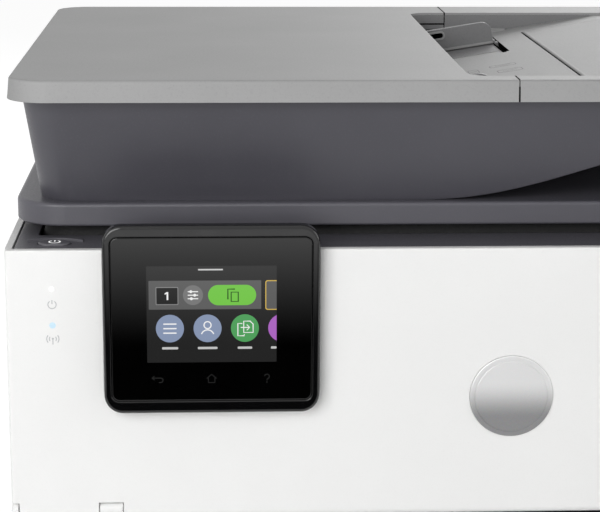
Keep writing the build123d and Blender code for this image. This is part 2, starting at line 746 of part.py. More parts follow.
def guide_room(side):
    # shallow recess for the foot of a guide, and the slot that its stem runs in
    near = side * (guide_half - guide_in - 4)
    far = side * (guide_half + guide_out + 18)
    y0, y1 = sorted((near, far))
    recess = block(-44, 0, y0, y1, -0.8, 3)
    y0, y1 = sorted((side * (guide_half - guide_in - 2), side * (guide_half + guide_out + 7)))
    return recess + block(-1.6, 1.6, y0, y1, -floor_t - 2, 3)


def adf_guide(side):
    # upright guide with a rounded end and a finger slot, its foot, the stem through the
    # tray and the rack under the floor
    start = -guide_l - 1.5
    end = -1.5 if side > 0 else start + guide_short
    y0, y1 = sorted((side * guide_half, side * (guide_half + guide_t)))
    fence = front_plate(start, end, y0, y1, -0.4, guide_h, 5.5)
    fence += block(start, end, y0, y1, -0.4, 5)
    grip0, grip1 = start + 2.5, start + guide_short - 1.5
    z0, z1 = grip_z - grip_w / 2, grip_z + grip_w / 2
    fence -= block(grip0, grip1, -200, 200, z0, z1)
    y0, y1 = sorted((side * guide_half, side * (guide_half + 15)))
    foot = block(start, -0.4, y0, y1, -0.4, 1.4)
    y0, y1 = sorted((side * guide_half, side * (guide_half + 5)))
    stem = block(-1.1, 1.1, y0, y1, -7.5, 0)
    reach = pinion_r() + rack_gap
    x0, x1 = sorted((1.1 * side, -side * (reach + 5)))
    bar = block(x0, x1, y0, y1, -7.5, -4.5)
    teeth = rack(-guide_out - 6, guide_half + 2, rack_module, 5.0, 3.0)
    teeth = Pos(-reach, 0, -6) * teeth
    if side < 0:
        teeth = Rot(0, 0, 180) * teeth
    return floor_frame() * (fence + foot + stem + bar + teeth)


def pinion_r():
    return rack_module * pinion_teeth / 2


def adf_pinion():
    part = Pos(0, 0, -6) * gear(pinion_teeth, rack_module, 3.0)
    part += rod_z(0, 0, 2.0, -8, -1.2)
    return floor_frame() * part


def adf_tray_flap():
    # hinged panel of the tray floor, rolled along its left edge
    x0, x1 = flap_x0 + run, floor_right - 8 - run
    y0, y1 = flap_y0 + run, flap_y1 - run
    flat_x = cover_edge + (floor_top_z - floor_edge_z) / slope
    ax, az = flap_axis()
    outline = ((ax, floor_z(ax)), (flat_x, floor_top_z), (x1, floor_top_z),
               (x1, floor_top_z - floor_t), (flat_x, floor_top_z - floor_t),
               (ax, floor_z(ax) - floor_t))
    flap = prism_y(outline, y0, y1) + rod_y(ax, az, flap_r, y0, y1)
    for index in range(5):
        y = flap_y0 + 30 + index * 42
        flap += block(flat_x, x1 - 8, y, y + 1.6, floor_top_z - floor_t - 3, floor_top_z - floor_t + 0.5)
    return flap


def flap_axis():
    x = flap_x0 + run + flap_r
    return x, floor_z(x) - flap_r + 0.1


def adf_pick_roller():
    part = rod_y(pick_x(), pick_z(), 2.5, scan_y - 123, scan_y + 114.5)
    for y in (scan_y - 30, scan_y + 10):
        part += rod_y(pick_x(), pick_z(), 9.0, y, y + 20)
    return part


def adf_drum():
    part = rod_y(drum_x(), drum_axis_z(), 3.0, scan_y - 123, scan_y + 114.5)
    for y in (-90, -30, 30, 80):
        part += rod_y(drum_x(), drum_axis_z(), 13.0, scan_y + y - 10, scan_y + y + 10)
    return part


# ---- control panel ----
def panel_housing():
    # rounded box, bevelled to the glass, open at the back
    edge_y = panel_face_y + 5.0
    back = panel_face_y + panel_t
    outer = front_plate(panel_x0, panel_x1, edge_y, back - 2, panel_z, panel_top, panel_r)
    rear_edge = Plane(origin=(panel_x, edge_y, (panel_z + panel_top) / 2), x_dir=(1, 0, 0), z_dir=(0, -1, 0))
    glass_mid = (glass_z + glass_top) / 2
    lip = Plane(origin=(panel_x, panel_face_y + 0.5, glass_mid), x_dir=(1, 0, 0), z_dir=(0, -1, 0))
    front = loft([rear_edge * RectangleRounded(panel_w, panel_h, panel_r),
                  lip * RectangleRounded(glass_w + 0.5, glass_h + 0.5, glass_r + 0.6)])
    housing = outer + front
    housing -= front_plate(panel_x0 + wall, panel_x1 - wall, panel_face_y + 7, back + 1,
                           panel_z + wall, panel_top - wall, panel_r - wall)
    g = glass_w / 2 + 0.05
    housing -= front_plate(panel_x - g, panel_x + g, panel_face_y - 1, panel_face_y + glass_t,
                           glass_z - 0.05, glass_top + 0.05, glass_r)
    s = screen_w / 2 + 1.2
    z0 = glass_z + screen_up
    housing -= block(panel_x - s, panel_x + s, panel_face_y, back, z0 - 1.2, z0 + screen_h + 1.2)
    return housing


def panel_glass():
    g = glass_w / 2
    glass = front_plate(panel_x - g, panel_x + g, panel_face_y, panel_face_y + glass_t,
                        glass_z, glass_top, glass_r)
    return fillet(glass.faces().sort_by(Axis.Y)[0].edges(), 0.4)


def lcd_display():
    s = screen_w / 2 + 0.9
    z0 = glass_z + screen_up
    y = panel_face_y + glass_t
    return block(panel_x - s, panel_x + s, y, y + 3, z0 - 0.9, z0 + screen_h + 0.9)


def panel_back_cover():
    # closes the housing; its two ears turn on the pins of the bracket
    y = panel_face_y + panel_t - 2
    cover = front_plate(panel_x0 + 0.6, panel_x1 - 0.6, y, y + 2, panel_z + 0.6,
                        panel_top - 0.6, panel_r - 0.6)
    cover += front_plate(panel_x0 + wall + 0.2, panel_x1 - wall - 0.2, y - 1.5, y, panel_z + wall + 0.2,
                         panel_top - wall - 0.2, panel_r - wall - 0.2)
    for side in (-1, 1):
        x = panel_x + side * ear_x
        cover += block(x - 3, x + 3, y + 1, panel_axis_y, panel_axis_z - 3, panel_axis_z + 3)
        cover += rod_x(panel_axis_y, panel_axis_z, 3.0, x - 3, x + 3)
        pin_x0, pin_x1 = sorted((x, x + side * 10))
        cover += rod_x(panel_axis_y, panel_axis_z, 1.5, pin_x0, pin_x1)
    return cover


# ---- front door ----
def front_door():
    # full-width door: plate, hinge roll, inner rib frame and the notch for the panel
    y1 = door_hinge_y
    low = door_hinge_z + door_t + 0.4
    door = block(-half_w, half_w, front_y, y1, low, deck_z)
    door = fillet(door.edges().group_by(Axis.Y)[0].filter_by(Axis.Z), 1.4)
    door = fillet(door.edges().group_by(Axis.Y)[0].filter_by(Axis.X).group_by(Axis.Z)[-1], 0.8)
    roll_x = inner_x - run
    door += block(-roll_x, roll_x, front_y, y1, door_hinge_z, low)
    door += rod_x(door_hinge_y, door_hinge_z, door_t, -roll_x, roll_x)
    rib_x = inner_x - 13.6
    rib_y = y1 + 7
    z0, z1 = low + 8.6, deck_z - 10
    ribs = block(-rib_x, rib_x, y1, rib_y, z0, z1)
    ribs -= block(-rib_x + 2, rib_x - 2, y1 - 1, rib_y + 1, z0 + 2, z1 - 2)
    for x in (-60, -20, 20, 60, 100, 140, 180):
        ribs += block(x - 0.9, x + 0.9, y1, y1 + 3, z0 + 1, z1 - 1)
    ribs += block(notch_x0 - 4, notch_x0 - 2, y1, rib_y, z0, z1)
    ribs += block(notch_x1 + 2, notch_x1 + 4, y1, rib_y, z0, z1)
    ribs += block(notch_x0 - 4, notch_x1 + 4, y1, rib_y, notch_z - 4, notch_z - 2)
    ribs -= block(notch_x0 - 2, notch_x1 + 2, y1 - 1, y1 + 9, notch_z - 2, deck_z)
    ribs -= block(-half_w, notch_x0 - 1, y1 + 2.4, y1 + 9, notch_z - 2, deck_z)
    door += ribs
    door -= front_plate(notch_x0, notch_x1, front_y - 1, y1 + 9, notch_z, deck_z + panel_h, panel_r + run)
    door -= rod_y(0, badge_z, badge_r + 0.15, front_y - 1, front_y + 0.6)
    for x in (-door_lug_x, door_lug_x):
        door -= block(x - 5.4, x + 5.4, front_y - 1, y1 + 4, door_bottom - 1, door_hinge_z + door_t + 0.4)
        door -= rod_x(door_hinge_y, door_hinge_z, 1.5 + fit, x - 11, x + 11)
    return door


def door_badge():
    # plain round plate with one ring groove
    badge = rod_y(0, badge_z, badge_r, front_y - badge_t, front_y + 0.6)
    badge = fillet(badge.faces().sort_by(Axis.Y)[0].edges(), 0.4)
    ring = rod_y(0, badge_z, badge_r - 2.0, front_y - badge_t - 1, front_y - badge_t + 0.25)
    ring -= rod_y(0, badge_z, badge_r - 2.6, front_y - badge_t - 2, front_y - badge_t + 1)
    return badge - ring


# ---- print engine ----
def carriage_rail():
    # folded steel beam across the engine
    outline = ((rail_y, rail_z0), (rail_y + 14, rail_z0), (rail_y + 14, rail_z0 + 1.6),
               (rail_y + 1.6, rail_z0 + 1.6), (rail_y + 1.6, rail_z1 - 1.6), (rail_y + 14, rail_z1 - 1.6),
               (rail_y + 14, rail_z1), (rail_y, rail_z1))
    rail = prism_x(outline, -frame_x, frame_x)
    for x in (-150, -90, -30, 30, 90, 150):
        rail -= front_plate(x - 12, x + 12, rail_y - 1, rail_y + 3, rail_z0 + 34, rail_z0 + 46, 3)
    for x in (-pulley_x, pulley_x):
        rail -= rod_y(x, belt_z, pin_r + 0.7, rail_y - 1, rail_y + 3)
    return rail


def belt_outline(radius):
    return Pos(0, 0, belt_z) * (Plane.XZ * SlotCenterToCenter(2 * pulley_x, 2 * radius))


def carriage_belt():
    loop = extrude(belt_outline(pulley_r + belt_t) - belt_outline(pulley_r), belt_w / 2, both=True)
    return Pos(0, belt_y, 0) * loop


def pulley(side):
    # flanged pulley on its shaft; the right one is the motor's
    x = side * pulley_x
    y0 = belt_y - belt_w / 2 - 0.4
    y1 = belt_y + belt_w / 2 + 0.4
    part = rod_y(x, belt_z, pulley_r - 0.3, y0, y1)
    part += rod_y(x, belt_z, pulley_r + 1.4, y0 - 1.2, y0)
    part += rod_y(x, belt_z, pulley_r + 1.4, y1, y1 + 1.2)
    part += rod_y(x, belt_z, pin_r, y0 - 1.2, rail_y + 4)
    return part


def motors():
    # carriage motor behind the rail and feed motor on the left frame wall
    x = pulley_x
    part = rod_y(x, belt_z, 11.0, rail_y + 1.6, rail_y + 34)
    part -= rod_y(x, belt_z, pin_r + fit, rail_y - 1, rail_y + 6)
    part -= block(x - 14, x + 14, rail_y, rail_y + 40, belt_z - 14, belt_z - 10)
    idler = rod_y(-x, belt_z, 6.0, rail_y + 1.6, rail_y + 8)
    part += idler - rod_y(-x, belt_z, pin_r + fit, rail_y - 1, rail_y + 6)
    feed = rod_x(feed_y + 30, feed_z + 14, 14.0, -frame_x, -frame_x + 36)
    return part + feed


def cartridge_x(index):
    return carriage_x + (index - 1.5) * cartridge_pitch


def carriage():
    # open-fronted cradle with four bays, a print head below and a hook over the rail
    x0, x1 = carriage_x - carriage_w / 2, carriage_x + carriage_w / 2
    part = block(x0, x1, carriage_y0, carriage_y1, carriage_z0, carriage_z1)
    for index in range(4):
        x = cartridge_x(index)
        bay = cartridge_w / 2 + 0.4
        part -= block(x - bay, x + bay, carriage_y0 - 1, carriage_y0 + cartridge_l + 0.4 - 6,
                      bay_z(), carriage_z1 + 1)
    part += block(x0 + 6, x1 - 6, carriage_y0 + 20, carriage_y1 - 12, carriage_z0 - 4, carriage_z0)
    part += block(x0, x1, carriage_y1, rail_y + 18.5, rail_z1 + 0.4, rail_z1 + 2.6)
    part += block(x0, x1, carriage_y1 - 3, carriage_y1, carriage_z1 - 4, rail_z1 + 2.6)
    part += block(x0 + 10, x1 - 10, rail_y + 14.4, rail_y + 18.5, rail_z1 - 8, rail_z1 + 1)
    part += block(x0 + 20, x1 - 20, carriage_y1, rail_y - 0.4, carriage_z0, carriage_z0 + 12)
    clip_z = belt_z - pulley_r - belt_t
    clip = block(carriage_x - 12, carriage_x + 12, carriage_y1 - 1, belt_y + belt_w / 2 + 0.3,
                 clip_z - 3, clip_z - 0.4)
    return part + clip


def bay_z():
    return carriage_z0 + 9


def ink_cartridge(index):
    # narrow tank with a grip at the front, a stepped rear end and a nozzle boss
    x = cartridge_x(index)
    w = cartridge_w / 2
    y0 = carriage_y0 - 6
    z0 = bay_z() + 0.4
    y1 = y0 + cartridge_l
    z1 = z0 + cartridge_h
    outline = ((y0, z0 + 6), (y0 + 4, z0), (y1 - 0.4, z0), (y1 - 0.4, z0 + 30),
               (y1 - 12, z1), (y0 + 6, z1), (y0, z1 - 8))
    tank = prism_x(outline, x - w, x + w)
    tank = chamfer(tank.edges().filter_by(Axis.Y), 0.8)
    tank -= block(x - w + 3, x + w - 3, y0 - 1, y0 + 1.5, z0 + 10, z0 + 24)
    return tank


def platen():
    # ribbed plate under the print head
    top = carriage_z0 - 5.4
    half = paper_w / 2 + 10
    part = block(-half, half, eject_y + 12, feed_y - 9, top - 7, top - 3)
    for index in range(11):
        x = -half + 8 + index * (half - 8) / 5
        part += block(x - 0.8, x + 0.8, eject_y + 12, feed_y - 9, top - 3, top - 0.5)
    part += block(-frame_x, -half, -80, -60, top - 7, top - 4)
    return part + block(half, station_x0, -80, -60, top - 7, top - 4)


def roller_shaft(y, z, radius, starts, width):
    shaft = rod_x(y, z, shaft_r, -frame_x - frame_t - 5, frame_x + frame_t + 1)
    for x in starts:
        shaft += rod_x(y, z, radius, x, x + width)
    return shaft


def feed_roller():
    half = paper_w / 2 + 2
    part = roller_shaft(feed_y, feed_z, feed_r, (-half,), 2 * half)
    wheel = Rot(0, 90, 0) * gear(feed_teeth, gear_module, 4)
    return part + Pos(-frame_x - frame_t - 3, feed_y, feed_z) * wheel


def eject_roller():
    part = roller_shaft(eject_y, feed_z, feed_r, (-100, -60, -20, 20, 60, 90), 10)
    wheel = Rot(0, 90, 0) * gear(feed_teeth, gear_module, 4)
    return part + Pos(-frame_x - frame_t - 3, eject_y, feed_z) * wheel


def idler_place():
    # middle of the idler, above the line between the two roller gears
    half = (feed_y - eject_y) / 2
    reach = gear_module * (feed_teeth + idler_teeth) / 2
    return (feed_y + eject_y) / 2, feed_z + sqrt(reach**2 - half**2)


def gear_room():
    # space round the two roller gears and the idler, outside the left frame wall
    x0, x1 = -pan_x - 1, -frame_x - frame_t - 0.5
    tip = gear_module * (feed_teeth / 2 + 1) + gear_clear
    room = rod_x(feed_y, feed_z, tip, x0, x1) + rod_x(eject_y, feed_z, tip, x0, x1)
    return room + rod_x(*idler_place(), gear_module * (idler_teeth / 2 + 1) + gear_clear, x0, x1)


def idler_gear():
    # large gear with a webbed face between the two roller gears, on its own stub
    x = -frame_x - frame_t - 3
    y, z = idler_place()
    place = Pos(x, y, z) * Rot(0, 90, 0)
    wheel = gear(idler_teeth, gear_module * 0.99, 4)
    wheel -= Pos(0, 0, -2) * (Cylinder(30, 1.6) - Cylinder(7, 1.6))
    return place * wheel + rod_x(y, z, shaft_r, x - 2, -frame_x + 1)


def service_station():
    # cap tub, wiper and spittoon at the right end of the carriage travel
    x1 = frame_x - 7
    part = block(station_x0, x1, -112, -50, 76, 92)
    part -= block(station_x0 + 4, x1 - 4, -108, -54, 80, 93)
    for x in (station_x0 + 18, station_x0 + 42):
        cap = block(x - 9, x + 9, -100, -62, 79, 94)
        part += cap - block(x - 7, x + 7, -98, -64, 92, 95)
    part += block(x1 - 2, frame_x, -90, -70, 78, 84)
    return part


def power_supply():
    # closed housing with vent slots on its inner side, on one block
    x0, x1 = frame_x - 77, frame_x - 2
    y0, y1 = back_y - 101, back_y - 24
    part = block(x0, x1, y0, y1, 22, 60)
    for index in range(4):
        y = y0 + 15 + index * 15
        part -= block(x0 - 1, x0 + 2, y, y + 6, 28, 54)
    part += block(x0 + 4, x1 - 4, y0 + 4, y1 - 4, pan_z, 22)
    return part


def power_inlet():
    # two-pin figure-eight inlet
    y1 = back_y - 0.4
    part = block(inlet_x - 14.6, inlet_x + 14.6, y1 - 20, y1, inlet_z - 11.6, inlet_z + 11.6)
    for dx in (-4.2, 4.2):
        part -= rod_y(inlet_x + dx, inlet_z, 4.6, y1 - 14, y1 + 1)
    for dx in (-4.2, 4.2):
        part += rod_y(inlet_x + dx, inlet_z, 1.2, y1 - 15, y1 - 3)
    return part


def main_board():
    # upright board on the left with its sockets at the rear
    face_x = board_x + 1.6
    y0 = back_y - 151
    part = block(board_x, face_x, y0, back_y - 18, 24, 60)
    y1 = back_y - 0.4
    shells = block(ports_x - 20.6, ports_x + 20.6, y1 - 24, y1, ports_z - 10.6, ports_z + 10.6)
    shells -= block(ports_x - 17, ports_x - 2, y1 - 16, y1 + 1, ports_z - 7, ports_z + 7)
    shells -= block(ports_x + 4, ports_x + 16, y1 - 16, y1 + 1, ports_z - 5.5, ports_z + 5.5)
    part += shells + block(board_x + 1, ports_x - 19, y1 - 24, y1 - 12, ports_z - 10, ports_z + 10)
    for dy, z in ((30, 34), (64, 44), (98, 36)):
        part += block(face_x, face_x + 3.4, y0 + dy, y0 + dy + 16, z, z + 14)
    for dy in (10, 100):
        part += block(board_x + 0.4, board_x + 1.4, y0 + dy, y0 + dy + 6, pan_z, 24.5)
    return part


# ---- input tray ----
slider_z = out_z + out_t - slider_t - 0.3
tray_x = paper_w / 2 + tray_clear
tray_front_y = front_y + skin
tray_floor = tray_z + tray_wall
guide_x = paper_w / 2 + 0.5
tray_rack_gap = 0.2


def input_tray():
    # drawer: floor, side walls, low back wall and the white front with a finger scoop
    y0, y1 = tray_front_y, tray_front_y + tray_l
    part = block(-tray_x - tray_wall, tray_x + tray_wall, y0, y1, tray_z, tray_z + tray_h)
    part -= block(-tray_x, tray_x, y0 + tray_wall, y1 - tray_wall, tray_floor, tray_z + tray_h + 1)
    part -= block(-tray_x, tray_x, y1 - tray_wall - 1, y1 + 1, 24, tray_z + tray_h + 1)
    face = front_plate(-mouth_x + seam, mouth_x - seam, front_y, y0, foot_h + 2.5, out_z - 1, 3)
    scoop = Pos(0, front_y + 1, out_z - 1) * (Plane.XZ * Ellipse(42, 13))
    face -= extrude(scoop, 12, both=True)
    part += face
    part -= rod_z(0, tray_pinion_y, 2.0 + fit, tray_z - 1, tray_floor + 1)
    return part


def tray_guide(side):
    # width guide: fence, foot and rack; the notch lets the other rack through
    x = side * guide_x
    x0, x1 = sorted((x, x + side * 2.0))
    z0 = tray_floor + 0.3
    y0, y1 = tray_pinion_y - 62, tray_pinion_y + 62
    fence = block(x0, x1, y0, y1, z0, z0 + tray_guide_h)
    reach = pinion_r() + tray_rack_gap
    y0, y1 = sorted((tray_pinion_y - side * (reach - 3.5), tray_pinion_y - side * (reach + 7)))
    fence -= block(x - 6, x + 6, y0, y1, z0 - 1, z0 + 5)
    teeth = rack(-6, guide_x + 1, rack_module, 5.0, 3.0)
    teeth = Pos(-reach, 0, 0) * teeth
    turn = 90 if side < 0 else -90
    teeth = Pos(0, tray_pinion_y, z0 + 2) * Rot(0, 0, turn) * teeth
    return fence + teeth


def tray_pinion():
    part = Pos(0, tray_pinion_y, tray_floor + 2.3) * Rot(0, 0, 90) * gear(pinion_teeth, rack_module, 3.0)
    return part + rod_z(0, tray_pinion_y, 2.0, tray_z + 0.3, tray_floor + 1.5)


def length_guide():
    # slides along the floor, in front of the stack
    y = tray_front_y + tray_l - tray_wall - paper_l - 0.5
    z0 = tray_floor + 0.3
    part = block(-24, 24, y - 3, y, z0, z0 + 13)
    part += plate(-16, 16, y - 7, y, z0, z0 + 3, 2)
    for x in (-18, 16):
        part += block(x, x + 2, y - 6.5, y - 1, z0, z0 + 10)
    return part


def pick_arm():
    # swinging arm that carries the pick roller
    part = rod_x(pick_axis_y, pick_axis_z, 4.0, -24, 24)
    dz = pick_z_tray() - pick_axis_z
    for x in (-21, 18):
        arm = prism_x(((pick_axis_y - 4, pick_axis_z), (pick_axis_y, pick_axis_z + 4),
                       (pick_axis_y + pick_arm_l + 4, pick_axis_z + dz + 3),
                       (pick_axis_y + pick_arm_l + 4, pick_axis_z + dz - 4),
                       (pick_axis_y + pick_arm_l - 4, pick_axis_z + dz - 4),
                       (pick_axis_y, pick_axis_z - 4)), x, x + 3)
        part += arm - rod_x(pick_axis_y + pick_arm_l, pick_z_tray(), 2.0 + fit, x - 1, x + 4)
    part -= rod_x(pick_axis_y, pick_axis_z, 2.0 + fit, -25, 25)
    return part


def pick_z_tray():
    return stack_top + pick_r


def pick_roller():
    y = pick_axis_y + pick_arm_l
    return rod_x(y, pick_z_tray(), pick_r, -16, 16) + rod_x(y, pick_z_tray(), 2.0, -21.5, 21.5)


# ---- output tray ----
def output_tray():
    # ribbed shelf over the input tray with a channel for the extender
    y0, y1 = front_y + 3.5, pick_axis_y - 14
    half = slider_w / 2 + run
    part = block(-mouth_x + 0.5, mouth_x - 0.5, y0, y1, out_z, out_z + out_t)
    part -= block(-half, half, y0 - 1, y0 + slider_l + 2, slider_z - 0.4, out_z + out_t + 1)
    part -= block(-half - tongue, half + tongue, y0 - 1, y0 + slider_l + 2, slider_z + 0.5, slider_z + 2.1)
    for x in (-100, -80, 80, 100):
        part += block(x - 1, x + 1, y0 + 6, y1, out_z + out_t, out_z + out_t + 1.2)
    for side in (-1, 1):
        a, b = sorted((side * (mouth_x - 2), side * (pan_x - wall)))
        part += block(a, b, front_y + 27, y1, out_z, out_z + wall)
    return part


def output_extender():
    # sliding shelf with side tongues and a window for the folded paper stop
    y0 = front_y + 1.0
    x = slider_w / 2
    part = block(-x, x, y0, y0 + slider_l, slider_z, slider_z + slider_t)
    part += block(-x - tongue, x + tongue, y0 + 20, y0 + slider_l, slider_z + 0.8, slider_z + 1.8)
    part -= block(-stop_w / 2 - 0.5, stop_w / 2 + 0.5, y0 + 4, y0 + 4 + stop_h + 3,
                  slider_z - 1, slider_z + 9)
    y, z = stop_axis()
    part += rod_x(y, z, 1.0, -stop_w / 2 - 1, -stop_w / 2 + 5)
    part += rod_x(y, z, 1.0, stop_w / 2 - 5, stop_w / 2 + 1)
    return part


def stop_axis():
    return front_y + 1.0 + 4 + 1.8, slider_z + slider_t / 2


def paper_stop():
    y, z = stop_axis()
    x = stop_w / 2
    t = slider_t / 2
    part = rod_x(y, z, t, -x, x) + block(-x, x, y, y + stop_h, z - t, z + t)
    part -= rod_x(y, z, 1.0 + fit, -x - 1, -x + 6)
    part -= rod_x(y, z, 1.0 + fit, x - 6, x + 1)
    return part


def main():
    write("rubber_feet", rubber_feet())
    write("base_pan", base_pan())
    write("front_usb_port", front_usb_port())
    write("left_side_cover", side_cover(-1))
    write("right_side_cover", side_cover(1))
    write("rear_cover", rear_cover())
    write("rear_access_door", rear_access_door())
    write("chassis_frame", chassis_frame())
    write("top_deck", top_deck())
    write("power_button", power_button())
    write("panel_bracket", panel_bracket())
    write("scanner_base", scanner_base())
    write("scanner_glass", scanner_glass())
    write("scan_rail", scan_rail())
    write("scan_bar", scan_bar())
    write("scanner_lid", scanner_lid())
    write("lid_pad", lid_pad())
    write("adf_base", adf_base())
    write("adf_cover", adf_cover())
    write("adf_tray", adf_tray())
    write("adf_tray_flap", adf_tray_flap())
    write("adf_guide_rear", adf_guide(1))
    write("adf_guide_front", adf_guide(-1))
    write("adf_guide_pinion", adf_pinion())
    write("adf_pick_roller", adf_pick_roller())
    write("adf_drum", adf_drum())
    write("panel_housing", panel_housing())
    write("panel_glass", panel_glass())
    write("lcd_display", lcd_display())
    write("panel_back_cover", panel_back_cover())
    write("front_door", front_door())
    write("door_badge", door_badge())
    write("carriage_rail", carriage_rail())
    write("carriage_belt", carriage_belt())
    write("drive_pulley", pulley(1))
    write("idler_pulley", pulley(-1))
    write("motors", motors())
    write("carriage", carriage())
    for index, ink in enumerate(("black", "cyan", "magenta", "yellow")):
        write(f"ink_cartridge_{ink}", ink_cartridge(index))
    write("platen", platen())
    write("feed_roller", feed_roller())
    write("eject_roller", eject_roller())
    write("idler_gear", idler_gear())
    write("service_station", service_station())
    write("power_supply", power_supply())
    write("power_inlet", power_inlet())
    write("main_board", main_board())
    write("input_tray", input_tray())
    write("tray_guide_left", tray_guide(-1))
    write("tray_guide_right", tray_guide(1))
    write("tray_pinion", tray_pinion())
    write("length_guide", length_guide())
    write("pick_arm", pick_arm())
    write("pick_roller", pick_roller())
    write("output_tray", output_tray())
    write("output_extender", output_extender())
    write("paper_stop", paper_stop())


main()
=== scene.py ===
import math

import bpy
import numpy as np
from mathutils import Matrix, Vector


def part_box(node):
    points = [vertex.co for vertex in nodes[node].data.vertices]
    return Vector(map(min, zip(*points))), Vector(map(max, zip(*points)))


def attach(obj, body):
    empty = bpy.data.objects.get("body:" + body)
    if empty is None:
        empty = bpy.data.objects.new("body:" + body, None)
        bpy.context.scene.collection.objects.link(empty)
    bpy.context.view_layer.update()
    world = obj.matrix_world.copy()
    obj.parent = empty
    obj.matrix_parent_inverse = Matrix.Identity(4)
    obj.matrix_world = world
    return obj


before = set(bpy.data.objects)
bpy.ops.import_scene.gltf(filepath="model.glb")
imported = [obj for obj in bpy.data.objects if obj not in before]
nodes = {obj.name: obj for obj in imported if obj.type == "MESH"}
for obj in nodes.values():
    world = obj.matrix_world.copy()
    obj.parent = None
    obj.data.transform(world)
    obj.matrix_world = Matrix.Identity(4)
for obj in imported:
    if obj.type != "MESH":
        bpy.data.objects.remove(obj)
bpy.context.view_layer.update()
scene = bpy.context.scene
mm = 0.001  # metres in a millimetre
print("frame loaded:", len(nodes), "parts")


# ---- small helpers

def linearColour(hexCode):
    # sRGB hex to the linear values that shaders work in
    srgb = np.array([int(hexCode[i:i + 2], 16) for i in (1, 3, 5)]) / 255.0
    linear = np.where(srgb <= 0.04045, srgb / 12.92, ((srgb + 0.055) / 1.055) ** 2.4)
    return (*linear.tolist(), 1.0)


def addNode(tree, kind, inputs=None, **settings):
    # one shader node with its settings, typed-in values and incoming links
    node = tree.nodes.new(kind)
    for name, value in settings.items():
        setattr(node, name, value)
    for key, value in (inputs or {}).items():
        if isinstance(value, bpy.types.NodeSocket):
            tree.links.new(value, node.inputs[key])
        else:
            node.inputs[key].default_value = value
    return node


def emptyTree(owner):
    # the cleared node tree of a material or a world
    owner.use_nodes = True
    owner.node_tree.nodes.clear()
    return owner.node_tree


def addObject(name, data):
    made = bpy.data.objects.new(name, data)
    scene.collection.objects.link(made)
    return made


def startMaterial(name, shaderInputs):
    # an empty material with a principled shader; gives back what the patterns hang on
    material = bpy.data.materials.new(name)
    tree = emptyTree(material)
    shader = addNode(tree, "ShaderNodeBsdfPrincipled", shaderInputs)
    addNode(tree, "ShaderNodeOutputMaterial", {"Surface": shader.outputs[0]})
    place = addNode(tree, "ShaderNodeTexCoord").outputs["Object"]
    return material, tree, shader, place


def mixColours(tree, share, low, high, **settings):
    # runs from one colour to another by share; a colour is a hex code or a link
    low, high = (linearColour(c) if isinstance(c, str) else c for c in (low, high))
    inputs = {0: share, 6: low, 7: high}
    return addNode(tree, "ShaderNodeMix", inputs, data_type="RGBA", **settings).outputs[2]


def combine(tree, operation, *values):
    # one sum of numbers or links
    return addNode(tree, "ShaderNodeMath", dict(enumerate(values)), operation=operation).outputs[0]


def spread(tree, value, start, end, low=0.0, high=1.0, **settings):
    # lays the span from start to end onto low to high
    inputs = {"Value": value, "From Min": start, "From Max": end, "To Min": low, "To Max": high}
    return addNode(tree, "ShaderNodeMapRange", inputs, **settings).outputs[0]


def cloud(tree, place, sizeMm, detail, **inputs):
    # soft noise in patches about sizeMm across
    inputs = {"Vector": place, "Scale": 1 / (sizeMm * mm), "Detail": detail, **inputs}
    return addNode(tree, "ShaderNodeTexNoise", inputs).outputs["Fac"]


def roundEdges(tree, edgeMm):
    # normals as if the edges were rounded
    return addNode(tree, "ShaderNodeBevel", {"Radius": edgeMm * mm}, samples=6).outputs[0]


def linkLook(tree, shader, colour, roughness=None):
    tree.links.new(colour, shader.inputs["Base Color"])
    if roughness:
        tree.links.new(roughness, shader.inputs["Roughness"])


def addRelief(tree, shader, height, strength, depthMm, **inputs):
    inputs = {"Height": height, "Strength": strength, "Distance": depthMm * mm, **inputs}
    tree.links.new(addNode(tree, "ShaderNodeBump", inputs).outputs[0], shader.inputs["Normal"])


# ---- camera

cameraView = {"place": (-0.1301, -0.9630, 0.3914), "yaw": 2.6752, "pitch": 13.1753, "roll": 0.2762,
              "lens": 115.49}


def placeCamera(view):
    # looks ahead by yaw (to the right) and pitch (down), then leans by roll
    yaw, pitch, roll = (math.radians(view[k]) for k in ("yaw", "pitch", "roll"))
    ahead = Vector((math.sin(yaw) * math.cos(pitch), math.cos(yaw) * math.cos(pitch), -math.sin(pitch)))
    right = Vector((math.cos(yaw), -math.sin(yaw), 0.0))
    up = right.cross(ahead)
    leanRight = right * math.cos(roll) + up * math.sin(roll)
    leanUp = up * math.cos(roll) - right * math.sin(roll)
    data = bpy.data.cameras.new("camera")
    data.lens, data.sensor_width, data.clip_start = view["lens"], 36.0, 0.02
    camera = addObject("camera", data)
    turn = Matrix((leanRight, leanUp, -ahead)).transposed().to_4x4()
    camera.matrix_world = Matrix.Translation(view["place"]) @ turn
    scene.camera = camera


placeCamera(cameraView)
print("camera placed")


# ---- surfaces from numpy grids

def shellFrom(grid, wrapRows=False, poles=False):
    # grid[row, column] holds points over two parameters; columns close on themselves,
    # rows either close too or, with poles, end in one vertex at each end
    rows, columns = grid.shape[:2]
    index = np.arange(rows * columns).reshape(rows, columns)
    if poles:
        index[0, :], index[-1, :] = index[0, 0], index[-1, 0]
    index = np.concatenate((index, index[:, :1]), axis=1)
    if wrapRows:
        index = np.concatenate((index, index[:1]), axis=0)
    a, b, c, d = index[:-1, :-1], index[1:, :-1], index[1:, 1:], index[:-1, 1:]
    faces = np.concatenate((np.stack((a, b, c), -1).reshape(-1, 3), np.stack((a, c, d), -1).reshape(-1, 3)))
    flat = (faces[:, 0] == faces[:, 1]) | (faces[:, 1] == faces[:, 2]) | (faces[:, 0] == faces[:, 2])
    used, faces = np.unique(faces[~flat], return_inverse=True)
    return grid.reshape(-1, 3)[used], faces.reshape(-1, 3)


